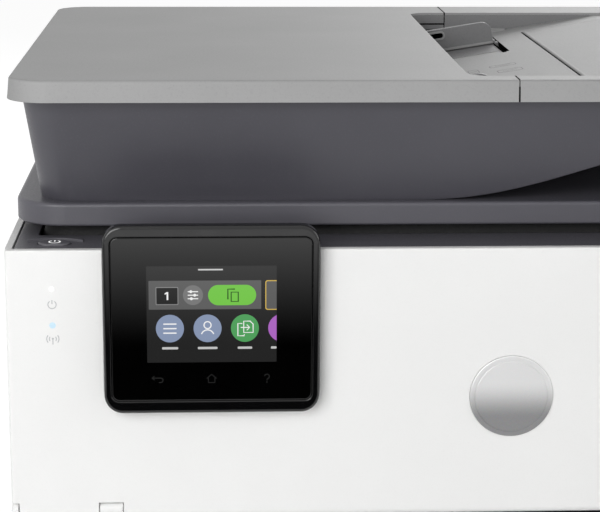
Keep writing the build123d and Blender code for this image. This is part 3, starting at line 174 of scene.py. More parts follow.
def strokeShell(path, width, low, high, closed=False):
    # a rectangle, width across and low to high, carried along a flat path
    path = np.asarray(path, float)
    if closed:
        ahead = np.roll(path, -1, axis=0) - np.roll(path, 1, axis=0)
    else:
        ahead = np.gradient(path, axis=0)
    ahead = ahead / np.linalg.norm(ahead, axis=1, keepdims=True)
    aside = np.stack((-ahead[:, 1], ahead[:, 0]), -1) * width / 2
    across, heights = np.array([-1, 1, 1, -1]), np.array([low, low, high, high])
    flat = path[:, None, :] + aside[:, None, :] * across[None, :, None]
    grid = np.concatenate((flat, np.broadcast_to(heights[None, :, None], (*flat.shape[:2], 1))), -1)
    if not closed:
        ends = [np.broadcast_to(grid[i].mean(0), (1, 4, 3)) for i in (0, -1)]
        grid = np.concatenate((ends[0], grid, ends[1]))
    return shellFrom(grid, wrapRows=closed, poles=not closed)


def patchShell(outline, low, high):
    # a thin plate: rays from the middle out to the outline below, up its edge, and back in above
    outline = np.asarray(outline, float)
    middle = np.broadcast_to(outline.mean(0), outline.shape)
    rows = [(middle, low), (outline, low), (outline, high), (middle, high)]
    grid = np.stack([np.concatenate((flat, np.full((len(flat), 1), h)), -1) for flat, h in rows])
    return shellFrom(grid, poles=True)


def turnedShell(profile, steps=40):
    # a profile of (radius, height) turned about the height axis; it starts and ends on the axis
    profile = np.asarray(profile, float)
    angle = np.linspace(0, 2 * np.pi, steps, endpoint=False)
    radius, height = profile[:, :1], np.broadcast_to(profile[:, 1:], (len(profile), steps))
    grid = np.stack((radius * np.cos(angle), radius * np.sin(angle), height), -1)
    return shellFrom(grid, poles=True)


def roundedBox(x, y, width, height, radius, steps=6):
    # outline of a rectangle about (x, y) with quarter circles at its corners
    quarter = np.linspace(0, np.pi / 2, steps)
    corners = np.array([(1, 1), (-1, 1), (-1, -1), (1, -1)])
    angle = (quarter[None, :] + np.arange(4)[:, None] * np.pi / 2).ravel()
    centre = np.repeat(corners * (width / 2 - radius, height / 2 - radius), steps, axis=0)
    return centre + radius * np.stack((np.cos(angle), np.sin(angle)), -1) + (x, y)


def circle(x, y, radius, steps=48):
    angle = np.linspace(0, 2 * np.pi, steps, endpoint=False)
    return np.stack((x + radius * np.cos(angle), y + radius * np.sin(angle)), -1)


def arc(x, y, radius, start, end, steps=24):
    angle = np.radians(np.linspace(start, end, steps))
    return np.stack((x + radius * np.cos(angle), y + radius * np.sin(angle)), -1)


def placeShells(shells, origin, right, up, out):
    # takes (right, up, out) millimetres from an origin in millimetres to metres in the row frame
    basis = np.array([right, up, out], float)
    return [((points @ basis + origin) * mm, faces, colour) for points, faces, colour in shells]


# placeShells axes of a face that looks to the front, to the back and upwards
facing = {"right": (1, 0, 0), "up": (0, 0, 1), "out": (0, -1, 0)}
backward = {"right": (-1, 0, 0), "up": (0, 0, 1), "out": (0, 1, 0)}
upward = {"right": (1, 0, 0), "up": (0, 1, 0), "out": (0, 0, 1)}


def inMillimetres(box):
    return [np.array(corner) / mm for corner in box]


def makePiece(name, shells, body, material, smooth=False):
    # joins closed shells into one mesh with outward faces, each shell with its own ink colour
    points, faces, inks, first = [], [], [], 0
    for p, f, colour in shells:
        a, b, c = p[f[:, 0]], p[f[:, 1]], p[f[:, 2]]
        if np.einsum("ij,ij->i", a - p.mean(0), np.cross(b - p.mean(0), c - p.mean(0))).sum() < 0:
            f = f[:, ::-1]
        points.append(p)
        faces.append(f + first)
        inks.append(np.tile(linearColour(colour), (len(p), 1)))
        first += len(p)
    mesh = bpy.data.meshes.new(name)
    mesh.from_pydata(np.concatenate(points).tolist(), [], np.concatenate(faces).tolist())
    ink = mesh.attributes.new("ink", "FLOAT_COLOR", "POINT")
    ink.data.foreach_set("color", np.concatenate(inks).astype(np.float32).ravel())
    mesh.polygons.foreach_set("use_smooth", np.full(len(mesh.polygons), smooth))
    mesh.materials.append(material)
    piece = addObject(name, mesh)
    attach(piece, body)
    return piece


def addTrim(name, shell, colour, place, body, material):
    # a piece of one shell
    makePiece(name, placeShells([(*shell, colour)], **place), body, material)


# ---- moulded plastics

def mouldedPlastic(name, look):
    # injection-moulded shell: faint flow mottle in the tone, a spark-eroded grain that
    # breaks up the sheen, and edges rounded and rubbed a little smoother than the faces
    material, tree, shader, place = startMaterial(name, {"IOR": look["ior"]})
    tone = cloud(tree, place, look["toneMm"], 3.0)
    grain = cloud(tree, place, look["grainMm"], 2.0, Roughness=0.6)
    soft = roundEdges(tree, look["edgeMm"])
    flat = addNode(tree, "ShaderNodeNewGeometry").outputs["Normal"]
    facing = addNode(tree, "ShaderNodeVectorMath", {0: soft, 1: flat}, operation="DOT_PRODUCT")
    edge = spread(tree, facing.outputs["Value"], 0.995, 0.8)
    body = mixColours(tree, spread(tree, tone, 0.3, 0.7), look["shade"], look["colour"])
    speckShare = spread(tree, grain, 0.55, 0.75, high=look["speck"])
    speck = mixColours(tree, speckShare, body, look["speckColour"])
    # paler edges: rubbing wear on every plastic, and a painted highlight where a look gives them a strong
    # share
    rubAndGlint = mixColours(tree, combine(tree, "MULTIPLY", edge, look["edgeRubAndGlint"]), speck, look["rubAndGlintColour"])
    rough = spread(tree, grain, 0.3, 0.7, *look["roughness"])
    linkLook(tree, shader, rubAndGlint, combine(tree, "MULTIPLY_ADD", edge, -0.1, rough))
    addRelief(tree, shader, grain, look["bump"], look["depthMm"], Normal=soft)
    return material


# The real spark-eroded grain is about 0.1 to 0.2 mm across, too fine to show here, so each
# grainMm is drawn several times as coarse as it needs to be seen. First what the plastics share
# unless their own look says otherwise, and what the four cartridge caps share.
plasticBase = {"toneMm": 60, "speck": 0.35, "edgeRubAndGlint": 0.35, "grainMm": 0.9, "depthMm": 0.04, "bump": 0.6,
               "edgeMm": 0.3, "ior": 1.53}
inkCaseLook = {"toneMm": 12, "speck": 0.25, "edgeRubAndGlint": 0.3, "roughness": (0.35, 0.5), "grainMm": 0.7,
               "depthMm": 0.03, "bump": 0.5, "edgeMm": 0.3, "ior": 1.49}
plasticLooks = {
    # ABS shell in bright white, fine satin grain: the eye sees clean matt faces
    "whiteAbsSatin": {"colour": "#f1f1f0", "shade": "#eeeeed", "speckColour": "#e6e6e6",
        "rubAndGlintColour": "#f6f6f6", "toneMm": 70, "roughness": (0.42, 0.55), "speck": 0.25, "edgeRubAndGlint": 0.2,
        "depthMm": 0.03, "bump": 0.5, "edgeMm": 0.35},
    # charcoal ABS with a violet cast, satin: broad soft sheen along the rounded edges
    "charcoalAbsSatin": {"colour": "#4a4950", "shade": "#45444b", "speckColour": "#55545b",
        "rubAndGlintColour": "#5e5d64", "roughness": (0.36, 0.5), "edgeMm": 0.5},
    # the same ABS in the lid frame, drawn a shade paler as painted light so that the lid's band renders
    # brighter than the feeder body
    "charcoalAbsLidPaintedLight": {"colour": "#55545b", "shade": "#504f56", "speckColour": "#5f5e65",
        "rubAndGlintColour": "#68676e", "roughness": (0.36, 0.5), "edgeMm": 0.5},
    # the same ABS in the deck plate, a finer grain, drawn paler as painted light so that the deck, seen at a
    # grazing angle, renders brighter
    "charcoalAbsDeckPaintedLight": {"colour": "#55545a", "shade": "#504f55", "speckColour": "#5f5e64",
        "rubAndGlintColour": "#68676d", "toneMm": 50, "roughness": (0.38, 0.5), "speck": 0.3, "edgeRubAndGlint": 0.3,
        "grainMm": 0.8, "depthMm": 0.03, "bump": 0.5},
    # black ABS of the scanner base: it shows as a deep line under the lid
    "blackAbsBase": {"colour": "#0a0a0b", "shade": "#080809", "speckColour": "#101011",
        "rubAndGlintColour": "#17181a", "toneMm": 40, "roughness": (0.62, 0.78), "speck": 0.3, "edgeRubAndGlint": 0.25,
        "bump": 0.5, "ior": 1.42},
    # light grey ABS of the feeder, matt grain: an even mid grey that takes the light softly
    "ashAbsMatt": {"colour": "#9e9e9e", "shade": "#999999", "speckColour": "#8c8c8c",
        "rubAndGlintColour": "#afafaf", "roughness": (0.56, 0.7), "edgeMm": 0.35},
    # the same grey ABS drawn darker as painted shade, for the guides and the tray's walls and recess that
    # stand in shade; its strongly paler edges are a painted highlight
    "ashAbsPaintedShade": {"colour": "#7f7f80", "shade": "#79797a", "speckColour": "#6c6c6d",
        "rubAndGlintColour": "#c4c4c4", "toneMm": 40, "roughness": (0.56, 0.7), "edgeRubAndGlint": 0.8, "edgeMm": 0.45},
    # soot black with no sheen at any angle, laid in gaps, slots and seams as painted shade
    "paintedShadeBlack": {"colour": "#060606", "shade": "#040404", "speckColour": "#0c0c0c",
        "rubAndGlintColour": "#0c0c0c", "toneMm": 5, "roughness": (0.93, 1.0), "speck": 0.3, "edgeRubAndGlint": 0.0,
        "grainMm": 0.8, "depthMm": 0.08, "edgeMm": 0.1, "ior": 1.08},
    # black HIPS of hidden carriers and pans, matt
    "blackHipsMatt": {"colour": "#151617", "shade": "#121213", "speckColour": "#1d1e20",
        "rubAndGlintColour": "#2b2c2f", "toneMm": 40, "roughness": (0.5, 0.65), "speck": 0.3, "edgeRubAndGlint": 0.25,
        "ior": 1.55},
    # dark grey glass-filled ABS of the engine: short fibres leave a streaky, dull face
    "engineAbsFilled": {"colour": "#37383b", "shade": "#2f3033", "speckColour": "#46474a",
        "rubAndGlintColour": "#4c4d50", "toneMm": 18, "roughness": (0.48, 0.68), "speck": 0.5, "edgeRubAndGlint": 0.3,
        "grainMm": 1.1, "depthMm": 0.06, "bump": 0.7, "edgeMm": 0.25, "ior": 1.55},
    # mid grey ABS of the paper drawer's guides
    "trayAbsGrey": {"colour": "#515155", "shade": "#4b4b4f", "speckColour": "#5b5b60",
        "rubAndGlintColour": "#67676c", "toneMm": 30, "roughness": (0.42, 0.56), "grainMm": 0.8, "edgeMm": 0.25},
    # natural acetal gears: slightly waxy off-white, smooth tooth faces
    "acetalNatural": {"colour": "#dbd8cc", "shade": "#d3cfc1", "speckColour": "#e6e3d8",
        "rubAndGlintColour": "#ebe9df", "toneMm": 9, "roughness": (0.28, 0.4), "speck": 0.2, "edgeRubAndGlint": 0.2,
        "grainMm": 0.7, "depthMm": 0.02, "bump": 0.3, "edgeMm": 0.15, "ior": 1.48},
    # polypropylene cartridge caps in the four ink colours, satin and slightly waxy
    "inkCaseBlack": {**inkCaseLook, "colour": "#1f1f21", "shade": "#1a1a1c", "speckColour": "#2b2b2e",
        "rubAndGlintColour": "#39393d", "speck": 0.3},
    "inkCaseCyan": {**inkCaseLook, "colour": "#0a7fae", "shade": "#08769f", "speckColour": "#2391bd",
        "rubAndGlintColour": "#3aa3cc"},
    "inkCaseMagenta": {**inkCaseLook, "colour": "#b3225f", "shade": "#a71d57", "speckColour": "#c13d72",
        "rubAndGlintColour": "#cc5485"},
    "inkCaseYellow": {**inkCaseLook, "colour": "#e0bb2c", "shade": "#d8b126", "speckColour": "#e9c94a",
        "rubAndGlintColour": "#efd46a"},
}
plastics = {name: mouldedPlastic(name, {**plasticBase, **look}) for name, look in plasticLooks.items()}
print("plastics made:", len(plastics))


# ---- gloss, glass and film

def glossSheet(name, look):
    # polished face with barely visible finger smears that only change the gloss
    clear = {"IOR": look["ior"], "Transmission Weight": look["clear"]}
    material, tree, shader, place = startMaterial(name, clear)
    smear = cloud(tree, place, look["smearMm"], 4.0, Distortion=1.2)
    linkLook(tree, shader, mixColours(tree, smear, look["colour"], look["smearColour"]),
             spread(tree, smear, 0.35, 0.75, *look["roughness"]))
    addRelief(tree, shader, smear, 0.05, 0.05, Normal=roundEdges(tree, look["edgeMm"]))
    return material


glossLooks = {
    # piano-black ABS surround, mirror polished tool: deep black with a sharp sheen on its edges
    "pianoBlackAbs": {"colour": "#060607", "smearColour": "#0a0a0b", "smearMm": 25,
        "roughness": (0.05, 0.12), "edgeMm": 0.5, "ior": 1.53, "clear": 0.0},
    # black-backed cover glass of the touch panel, float glass
    "backPaintedGlass": {"colour": "#010101", "smearColour": "#030303", "smearMm": 30,
        "roughness": (0.015, 0.05), "edgeMm": 0.35, "ior": 1.5, "clear": 0.0},
    # scanner platen, clear float glass
    "floatGlassClear": {"colour": "#f2f7f5", "smearColour": "#eef4f1", "smearMm": 60,
        "roughness": (0.0, 0.03), "edgeMm": 0.2, "ior": 1.52, "clear": 1.0},
}
glosses = {name: glossSheet(name, look) for name, look in glossLooks.items()}


def paddedFilm():
    # white reflective film over foam on the lid's underside: shallow pillows from the foam cells
    look = {"colour": "#ededea", "shade": "#e6e6e2", "cellMm": 7.0, "depthMm": 0.25}
    material, tree, shader, place = startMaterial("foamBackedFilm", {"IOR": 1.5, "Roughness": 0.38})
    cells = addNode(tree, "ShaderNodeTexVoronoi", {"Vector": place, "Scale": 1 / (look["cellMm"] * mm)},
                    feature="SMOOTH_F1").outputs["Distance"]
    linkLook(tree, shader, mixColours(tree, cells, look["colour"], look["shade"]))
    addRelief(tree, shader, cells, 0.35, look["depthMm"])
    return material


# ---- metals, rubber and the circuit board

def brushedMetal(name, look):
    # fine parallel scratches: noise stretched along one axis, in tone, gloss and relief
    material, tree, shader, place = startMaterial(name, {"Metallic": 1.0, "Anisotropic": look["anisotropic"]})
    across = 1 / (look["scratchMm"] * mm)
    stretch = [across / look["stretch"] if axis == look["along"] else across for axis in "XYZ"]
    mapped = addNode(tree, "ShaderNodeMapping", {"Vector": place, "Scale": stretch})
    scratch = addNode(tree, "ShaderNodeTexNoise",
                      {"Vector": mapped.outputs[0], "Scale": 1.0, "Detail": 3.0}).outputs["Fac"]
    linkLook(tree, shader, mixColours(tree, scratch, look["shade"], look["colour"]),
             spread(tree, scratch, 0.3, 0.7, *look["roughness"]))
    addRelief(tree, shader, scratch, look["bump"], 0.03, Normal=roundEdges(tree, look["edgeMm"]))
    return material


metalLooks = {
    # zinc-plated sheet steel of the rails and motor cans, rolled lengthways
    "zincedSteelRolled": {"colour": "#c9c9cb", "shade": "#a9aaad", "scratchMm": 0.7, "stretch": 40,
        "along": "X", "roughness": (0.28, 0.42), "anisotropic": 0.4, "bump": 0.3, "edgeMm": 0.2},
    # tin-plated brass of the socket contacts
    "platedBrass": {"colour": "#d8c27a", "shade": "#c7ae62", "scratchMm": 0.4, "stretch": 10, "along": "Y",
        "roughness": (0.22, 0.35), "anisotropic": 0.2, "bump": 0.2, "edgeMm": 0.1},
}
metals = {name: brushedMetal(name, look) for name, look in metalLooks.items()}


def flakeLacquer():
    # disc sprayed with aluminium-flake lacquer, pale above and mid grey below as a painted reflection:
    # the shade follows height, the flakes sparkle in tone and gloss. Real flakes are 0.03 mm, drawn 0.5 mm.
    look = {"above": "#ebebeb", "below": "#929293", "from": 0.1305, "to": 0.1475, "flakeMm": 0.5,
            "flakeShare": 0.06}
    material, tree, shader, place = startMaterial("flakeSilverPaintedReflection", {"Metallic": 0.3, "IOR": 1.5})
    height = addNode(tree, "ShaderNodeSeparateXYZ", {0: place})
    share = spread(tree, height.outputs["Z"], look["from"], look["to"], interpolation_type="SMOOTHSTEP")
    shade = mixColours(tree, share, look["below"], look["above"])
    flakes = addNode(tree, "ShaderNodeTexVoronoi", {"Vector": place, "Scale": 1 / (look["flakeMm"] * mm)})
    glint = mixColours(tree, look["flakeShare"], shade, flakes.outputs["Color"], blend_type="SOFT_LIGHT")
    linkLook(tree, shader, glint, spread(tree, flakes.outputs["Distance"], 0.0, 1.0, 0.3, 0.42))
    tree.links.new(roundEdges(tree, 0.2), shader.inputs["Normal"])
    return material


def ribbedRubber(name, look):
    # moulded or ground rubber: close parallel marks along one axis and a dull, dusty face
    material, tree, shader, place = startMaterial(name, {"IOR": 1.52})
    inputs = {"Vector": place, "Scale": 0.314 / (look["markMm"] * mm), "Distortion": look["wander"],
              "Detail": 1.0}
    marks = addNode(tree, "ShaderNodeTexWave", inputs, bands_direction=look["along"]).outputs["Fac"]
    dust = cloud(tree, place, look["dustMm"], 4.0)
    body = mixColours(tree, spread(tree, dust, 0.4, 0.75), look["colour"], look["dustColour"])
    linkLook(tree, shader, body, spread(tree, dust, 0.0, 1.0, 0.6, 0.85))
    addRelief(tree, shader, marks, look["bump"], look["depthMm"])
    return material


rubberLooks = {
    # EPDM tyres, ground round on a lathe, so fine rings run round them
    "groundEpdm": {"colour": "#2b2b2d", "dustColour": "#3a3a3b", "markMm": 0.9, "along": "X", "wander": 0.6,
        "dustMm": 5, "bump": 0.4, "depthMm": 0.08},
    # soft feet, pressed rubber
    "pressedRubberFeet": {"colour": "#1c1c1c", "dustColour": "#2a2a29", "markMm": 1.6, "along": "X",
        "wander": 2.0, "dustMm": 6, "bump": 0.2, "depthMm": 0.08},
    # toothed timing belt, 2 mm pitch
    "timingBelt": {"colour": "#18181a", "dustColour": "#242426", "markMm": 2.0, "along": "X", "wander": 0.0,
        "dustMm": 4, "bump": 0.9, "depthMm": 0.5},
}
rubbers = {name: ribbedRubber(name, look) for name, look in rubberLooks.items()}


def circuitBoard():
    # glass-fibre board under green solder mask: copper runs show as paler, raised lines
    look = {"mask": "#14502c", "maskEdge": "#124a28", "overCopper": "#1f6b3d", "pitchMm": 3.2, "runMm": 0.18}
    material, tree, shader, place = startMaterial("solderMaskGreen", {"IOR": 1.5, "Roughness": 0.28})
    inputs = {"Vector": place, "Scale": 1 / (look["pitchMm"] * mm), "Color1": linearColour(look["mask"]),
              "Color2": linearColour(look["maskEdge"]), "Mortar": linearColour(look["overCopper"]),
              "Mortar Size": look["runMm"] / look["pitchMm"], "Brick Width": 1.7}
    runs = addNode(tree, "ShaderNodeTexBrick", inputs)
    linkLook(tree, shader, runs.outputs["Color"])
    addRelief(tree, shader, runs.outputs["Fac"], 0.5, 0.05)
    return material


finishes = {**plastics, **glosses, **metals, **rubbers, "foamBackedFilm": paddedFilm(),
            "solderMaskGreen": circuitBoard(), "flakeSilverPaintedReflection": flakeLacquer()}
print("finishes made:", len(finishes))


# ---- which finish each part has

finishOf = {
    "whiteAbsSatin": ("front_door", "left_side_cover", "right_side_cover", "input_tray"),
    "charcoalAbsLidPaintedLight": ("scanner_lid",),
    "blackAbsBase": ("scanner_base",),
    "charcoalAbsSatin": ("adf_base", "rear_cover", "rear_access_door", "output_tray", "output_extender",
                         "paper_stop"),
    "charcoalAbsDeckPaintedLight": ("top_deck", "power_button"),
    "ashAbsMatt": ("adf_cover", "adf_tray", "adf_tray_flap"),
    # the guides take the darker ash: painted shade on their faces, painted highlight on their edges
    "ashAbsPaintedShade": ("adf_guide_rear", "adf_guide_front"),
    "blackHipsMatt": ("base_pan", "front_usb_port", "panel_bracket", "panel_back_cover",
                      "power_supply", "power_inlet"),
    "engineAbsFilled": ("chassis_frame", "carriage", "platen", "service_station", "scan_bar", "pick_arm"),
    "trayAbsGrey": ("tray_guide_left", "tray_guide_right", "length_guide"),
    "acetalNatural": ("adf_guide_pinion", "drive_pulley", "idler_pulley", "idler_gear", "tray_pinion"),
    "inkCaseBlack": ("ink_cartridge_black",),
    "inkCaseCyan": ("ink_cartridge_cyan",),
    "inkCaseMagenta": ("ink_cartridge_magenta",),
    "inkCaseYellow": ("ink_cartridge_yellow",),
    "pianoBlackAbs": ("panel_housing",),
    "backPaintedGlass": ("panel_glass", "lcd_display"),
    "floatGlassClear": ("scanner_glass",),
    "zincedSteelRolled": ("carriage_rail", "scan_rail", "motors"),
    "flakeSilverPaintedReflection": ("door_badge",),
    "groundEpdm": ("adf_drum", "adf_pick_roller", "feed_roller", "eject_roller", "pick_roller"),
    "pressedRubberFeet": ("rubber_feet",),
    "timingBelt": ("carriage_belt",),
    "foamBackedFilm": ("lid_pad",),
    "solderMaskGreen": ("main_board",),
}
for finish, names in finishOf.items():
    for name in names:
        nodes[name].data.materials[0] = finishes[finish]
unfinished = set(nodes) - {name for names in finishOf.values() for name in names}
print("parts without a finish:", sorted(unfinished))


# ---- printed and lit marks

def printedInk(name, look):
    # each mark's colour comes from the ink attribute on its own mesh; a fine dot pattern keeps
    # it from being flat. Lit marks glow with it, printed ones only reflect.
    material, tree, shader, place = startMaterial(name, {"IOR": look["ior"], "Roughness": look["roughness"]})
    ink = addNode(tree, "ShaderNodeAttribute", attribute_name="ink")
    dots = addNode(tree, "ShaderNodeTexVoronoi",
                   {"Vector": place, "Scale": 1 / (look["dotMm"] * mm), "Randomness": look["random"]})
    fade = spread(tree, dots.outputs["Distance"], 0.0, 1.0, 1.0, look["dotDark"])
    shaded = mixColours(tree, 1.0, ink.outputs["Color"], fade, blend_type="MULTIPLY")
    if look["lit"]:
        shader.inputs["Base Color"].default_value = linearColour("#050505")
        shader.inputs["Emission Strength"].default_value = look["lit"]
        tree.links.new(shaded, shader.inputs["Emission Color"])
    else:
        tree.links.new(shaded, shader.inputs["Base Color"])
    return material


inkLooks = {
    # liquid-crystal picture seen through the cover glass, so it keeps the glass's own sheen;
    # real cells are 0.15 mm, drawn 0.6 mm so that they show
    "litDisplay": {"ior": 1.5, "roughness": 0.03, "dotMm": 0.6, "random": 0.0, "dotDark": 0.93, "lit": 1.0},
    # frosted acrylic light pipes
    "litAcrylic": {"ior": 1.49, "roughness": 0.35, "dotMm": 0.9, "random": 1.0, "dotDark": 0.95, "lit": 1.0},
    # pad-printed enamel on plastic
    "padPrint": {"ior": 1.5, "roughness": 0.5, "dotMm": 0.7, "random": 1.0, "dotDark": 0.9, "lit": 0.0},
}
inks = {name: printedInk(name, look) for name, look in inkLooks.items()}


def layer(level):
    # heights of one thin layer of a print above the face under it, in millimetres
    return 0.02 + 0.03 * level, 0.04 + 0.03 * level


screenLook = {
    "width": 55.2, "height": 41.4, "tall": 1.022, "background": "#242424", "handle": "#c9c9c9",
    "bar": "#5c5c5c", "box": "#1d1d1d", "boxEdge": "#8c8c8c", "knob": "#777777", "white": "#f2f2f2",
    "start": "#73c547", "startMark": "#2c5a1b", "card": "#5a5a5a", "cardEdge": "#d6b455",
    "slate": "#8896b2", "green": "#51a05d", "violet": "#ac66c1", "label": "#c4c4c4",
}


def screenShells(look):
    # home picture of the touch panel in millimetres from its top left corner, drawn with plain
    # signs only: a number, sliders, lines, a person, sheets, and bare bars where words would be
    shells = []
    right = look["width"]

    def patch(outline, level, colour):
        outline = np.asarray(outline) * (1, -look["tall"])
        shells.append((*patchShell(np.minimum(outline, (right, 99)), *layer(level)), look[colour]))

    def stroke(path, width, level, colour, closed=False):
        shells.append((*strokeShell(np.asarray(path) * (1, -look["tall"]), width, *layer(level), closed),
                       look[colour]))

    patch(roundedBox(right / 2, look["height"] / 2, right, look["height"], 0.3), 0, "background")
    patch(roundedBox(27.2, 1.55, 10.6, 0.62, 0.3), 1, "handle")
    patch(roundedBox(24.8, 12.35, 47.7, 12.3, 0.3), 1, "bar")
    patch(roundedBox(8.7, 12.7, 9.6, 7.6, 0.4), 2, "boxEdge")
    patch(roundedBox(8.7, 12.7, 9.0, 7.0, 0.3), 3, "box")
    patch([(8.55, 11.0), (9.25, 11.0), (9.25, 14.4), (8.55, 14.4)], 4, "white")  # the number one
    patch([(8.55, 11.0), (8.6, 11.75), (7.75, 12.1), (7.75, 11.55)], 4, "white")
    patch(circle(19.7, 12.4, 4.25), 2, "knob")
    for row, knob in ((-1.5, -0.9), (0.0, 0.75), (1.5, -0.7)):
        patch(roundedBox(19.7, 12.4 + row, 4.5, 0.42, 0.2), 3, "white")
        patch(circle(19.7 + knob, 12.4 + row, 0.62, 20), 4, "white")
    patch(roundedBox(36.3, 12.45, 20.4, 8.7, 4.35, 12), 2, "start")
    stroke([(34.5, 14.3), (34.5, 9.9), (37.5, 9.9)], 0.6, 3, "startMark")  # two sheets on the start key
    stroke([(35.9, 11.2), (38.9, 11.2), (38.9, 15.2), (35.9, 15.2)], 0.6, 3, "startMark", True)
    card = roundedBox(55.7, 12.55, 10.6, 12.7, 1.0)
    patch(card, 2, "cardEdge")
    patch(roundedBox(55.7, 12.55, 9.8, 11.9, 0.7), 3, "card")
    for x, colour in ((9.8, "slate"), (25.8, "slate"), (41.7, "green"), (57.6, "violet")):
        patch(circle(x, 26.7, 5.96), 2, colour)
    for row in (-1.95, 0.0, 1.95):
        patch(roundedBox(9.8, 26.7 + row, 5.7, 0.55, 0.25), 3, "white")
    stroke(circle(25.8, 25.3, 1.5, 32), 0.5, 3, "white", True)
    stroke(arc(25.8, 30.1, 2.75, 200, 340), 0.5, 3, "white")
    stroke([(41.4, 29.3), (41.4, 30.0), (38.7, 30.0), (38.7, 24.7), (40.6, 24.7)], 0.45, 3, "white")
    stroke([(41.2, 23.7), (43.9, 23.7), (45.2, 25.0), (45.2, 28.6), (41.2, 28.6)], 0.45, 3, "white", True)
    stroke([(39.9, 26.4), (42.0, 26.4), (43.7, 26.4)], 0.4, 4, "white")
    stroke([(42.5, 25.2), (43.7, 26.4), (42.5, 27.6)], 0.4, 5, "white")
    for x, width in ((9.8, 6.9), (25.8, 8.4), (41.7, 6.2), (54.0, 2.4)):
        patch(roundedBox(x, 35.2, width, 1.0, 0.4), 1, "label")
    return shells


panelLow, panelHigh = inMillimetres(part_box("panel_glass"))
housingLow, housingHigh = inMillimetres(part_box("panel_housing"))

ringLook = {"outerRadius": 8.0, "innerRadius": 3.3, "edgeRound": 1.5, "gap": 0.2, "arris": 0.4, "depth": 5.0,
            "rise": 2.0, "cornerSteps": 14, "sunk": -0.6, "lip": 1.2, "backEdge": 0.6, "overlap": 0.02}


def ringShell(look):
    # gloss surround of the glass: each point lies a distance s in from the housing's outline, towards
    # the glass outline, at height h; (s, h) runs up a wall, round a quarter circle, across and back under
    low, high = housingLow[[0, 2]], housingHigh[[0, 2]] + (0, look["rise"])
    glassLow, glassHigh = panelLow[[0, 2]] - look["gap"], panelHigh[[0, 2]] + look["gap"]
    outer, inner = (roundedBox(*(a + b) / 2, *(b - a), radius, look["cornerSteps"])
                    for a, b, radius in ((low, high, look["outerRadius"]),
                                         (glassLow, glassHigh, look["innerRadius"])))
    span = np.linalg.norm(inner - outer, axis=1)
    turn = np.radians(np.linspace(0, 90, 8))
    bend = np.stack((look["edgeRound"] * (1 - np.cos(turn)),
                     look["depth"] - look["edgeRound"] * (1 - np.sin(turn))), -1)
    rows = [(s + 0 * span, h) for s, h in [(0.0, look["sunk"]), *bend]]
    rows += [(span - look["arris"], look["depth"]), (span, look["depth"] - look["arris"]),
             (span, look["depth"] - look["lip"]), (look["backEdge"] + 0 * span, look["sunk"])]
    grid = []
    for s, h in rows:
        flat = outer + (inner - outer) * (s / span)[:, None]
        grid.append(np.concatenate((flat, np.full((len(span), 1), h)), -1))
    return shellFrom(np.array(grid), wrapRows=True)


ringBack = (0.0, panelLow[1] + ringLook["depth"] - ringLook["overlap"], 0.0)
addTrim("panel_surround", ringShell(ringLook), "#060607", {"origin": ringBack, **facing}, "control_panel",
        glosses["pianoBlackAbs"])
screenCorner = np.array([panelLow[0] + 15.1, panelLow[1], panelHigh[2] - 12.2])  # top left of the picture
makePiece("screen_picture", placeShells(screenShells(screenLook), screenCorner, **facing), "control_panel",
          inks["litDisplay"])

touchLook = {"ink": "#262626", "width": 0.4}


def touchShells(look):
    # back, home and help keys under the picture, dim grey behind the glass
    back = np.concatenate(([(6.4, -51.2), (7.2, -51.2)], arc(7.2, -50.2, 1.0, -80, 80, 10),
                           [(5.0, -49.2), (3.4, -49.2)])) - (1.6, 0)
    home = [(25.3, -49.6), (27.4, -47.7), (29.5, -49.6)]
    walls = [(26.0, -49.4), (26.0, -51.4), (28.8, -51.4), (28.8, -49.4)]
    query = np.concatenate((arc(51.1, -48.9, 1.05, 170, -50, 14), [(51.1, -50.2), (51.1, -50.6)]))
    arrow = [(3.0, -48.3), (1.9, -49.2), (3.0, -50.1)]
    shells = [(*strokeShell(path, look["width"], *layer(0)), look["ink"])
              for path in (back, home, walls, query, arrow)]
    shells.append((*patchShell(circle(51.1, -51.4, 0.3, 12), *layer(0)), look["ink"]))
    return shells


makePiece("touch_keys", placeShells(touchShells(touchLook), screenCorner, **facing), "control_panel",
          inks["litDisplay"])
print("panel picture made")


# ---- status lights, their signs and the power sign

lampLook = {"x": -198.7, "power": 190.0, "link": 174.0, "radius": 1.35, "rise": 0.25, "white": "#ffffff",
            "blue": "#cdeafb"}


def lampShell(look):
    # shallow dome: height falls with the square of the radius, down to a short wall sunk in the door
    share = np.linspace(0, 1, 9)
    dome = np.stack((share * look["radius"], look["rise"] * (1 - 0.8 * share ** 2)), -1)
    return turnedShell(np.concatenate((dome, [(look["radius"], -0.4), (0, -0.4)])))


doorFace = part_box("front_door")[0][1] / mm
lamps = []
for height, colour in ((lampLook["power"], lampLook["white"]), (lampLook["link"], lampLook["blue"])):
    points, faces = lampShell(lampLook)
    lamps += placeShells([(points, faces, colour)], (lampLook["x"], doorFace, height), **facing)
makePiece("status_lights", lamps, "door", inks["litAcrylic"], smooth=True)

signLook = {"ink": "#c3c4c6", "width": 0.42, "powerRadius": 1.75, "power": 183.2, "link": 167.6}


def powerSign(radius, width, colour):
    # open ring with an upright bar through its gap
    return [(*strokeShell(arc(0, 0, radius, -235, 55, 40), width, *layer(0)), colour),
            (*strokeShell([(0, radius * 0.15), (0, radius * 0.6), (0, radius * 1.15)], width, *layer(0)),
             colour)]


def linkSign(look):
    # a mast between two pairs of bowed waves
    shells = [(*strokeShell([(0, -2.1), (0, -1.0), (0, 0.2)], look["width"], *layer(0)), look["ink"]),
              (*patchShell(circle(0, 0.5, 0.45, 16), *layer(0)), look["ink"])]
    for radius in (1.5, 2.6):
        for start in (-38, 142):
            shells.append((*strokeShell(arc(0, 0.4, radius, start, start + 76, 14), look["width"], *layer(0)),
                           look["ink"]))
    return shells


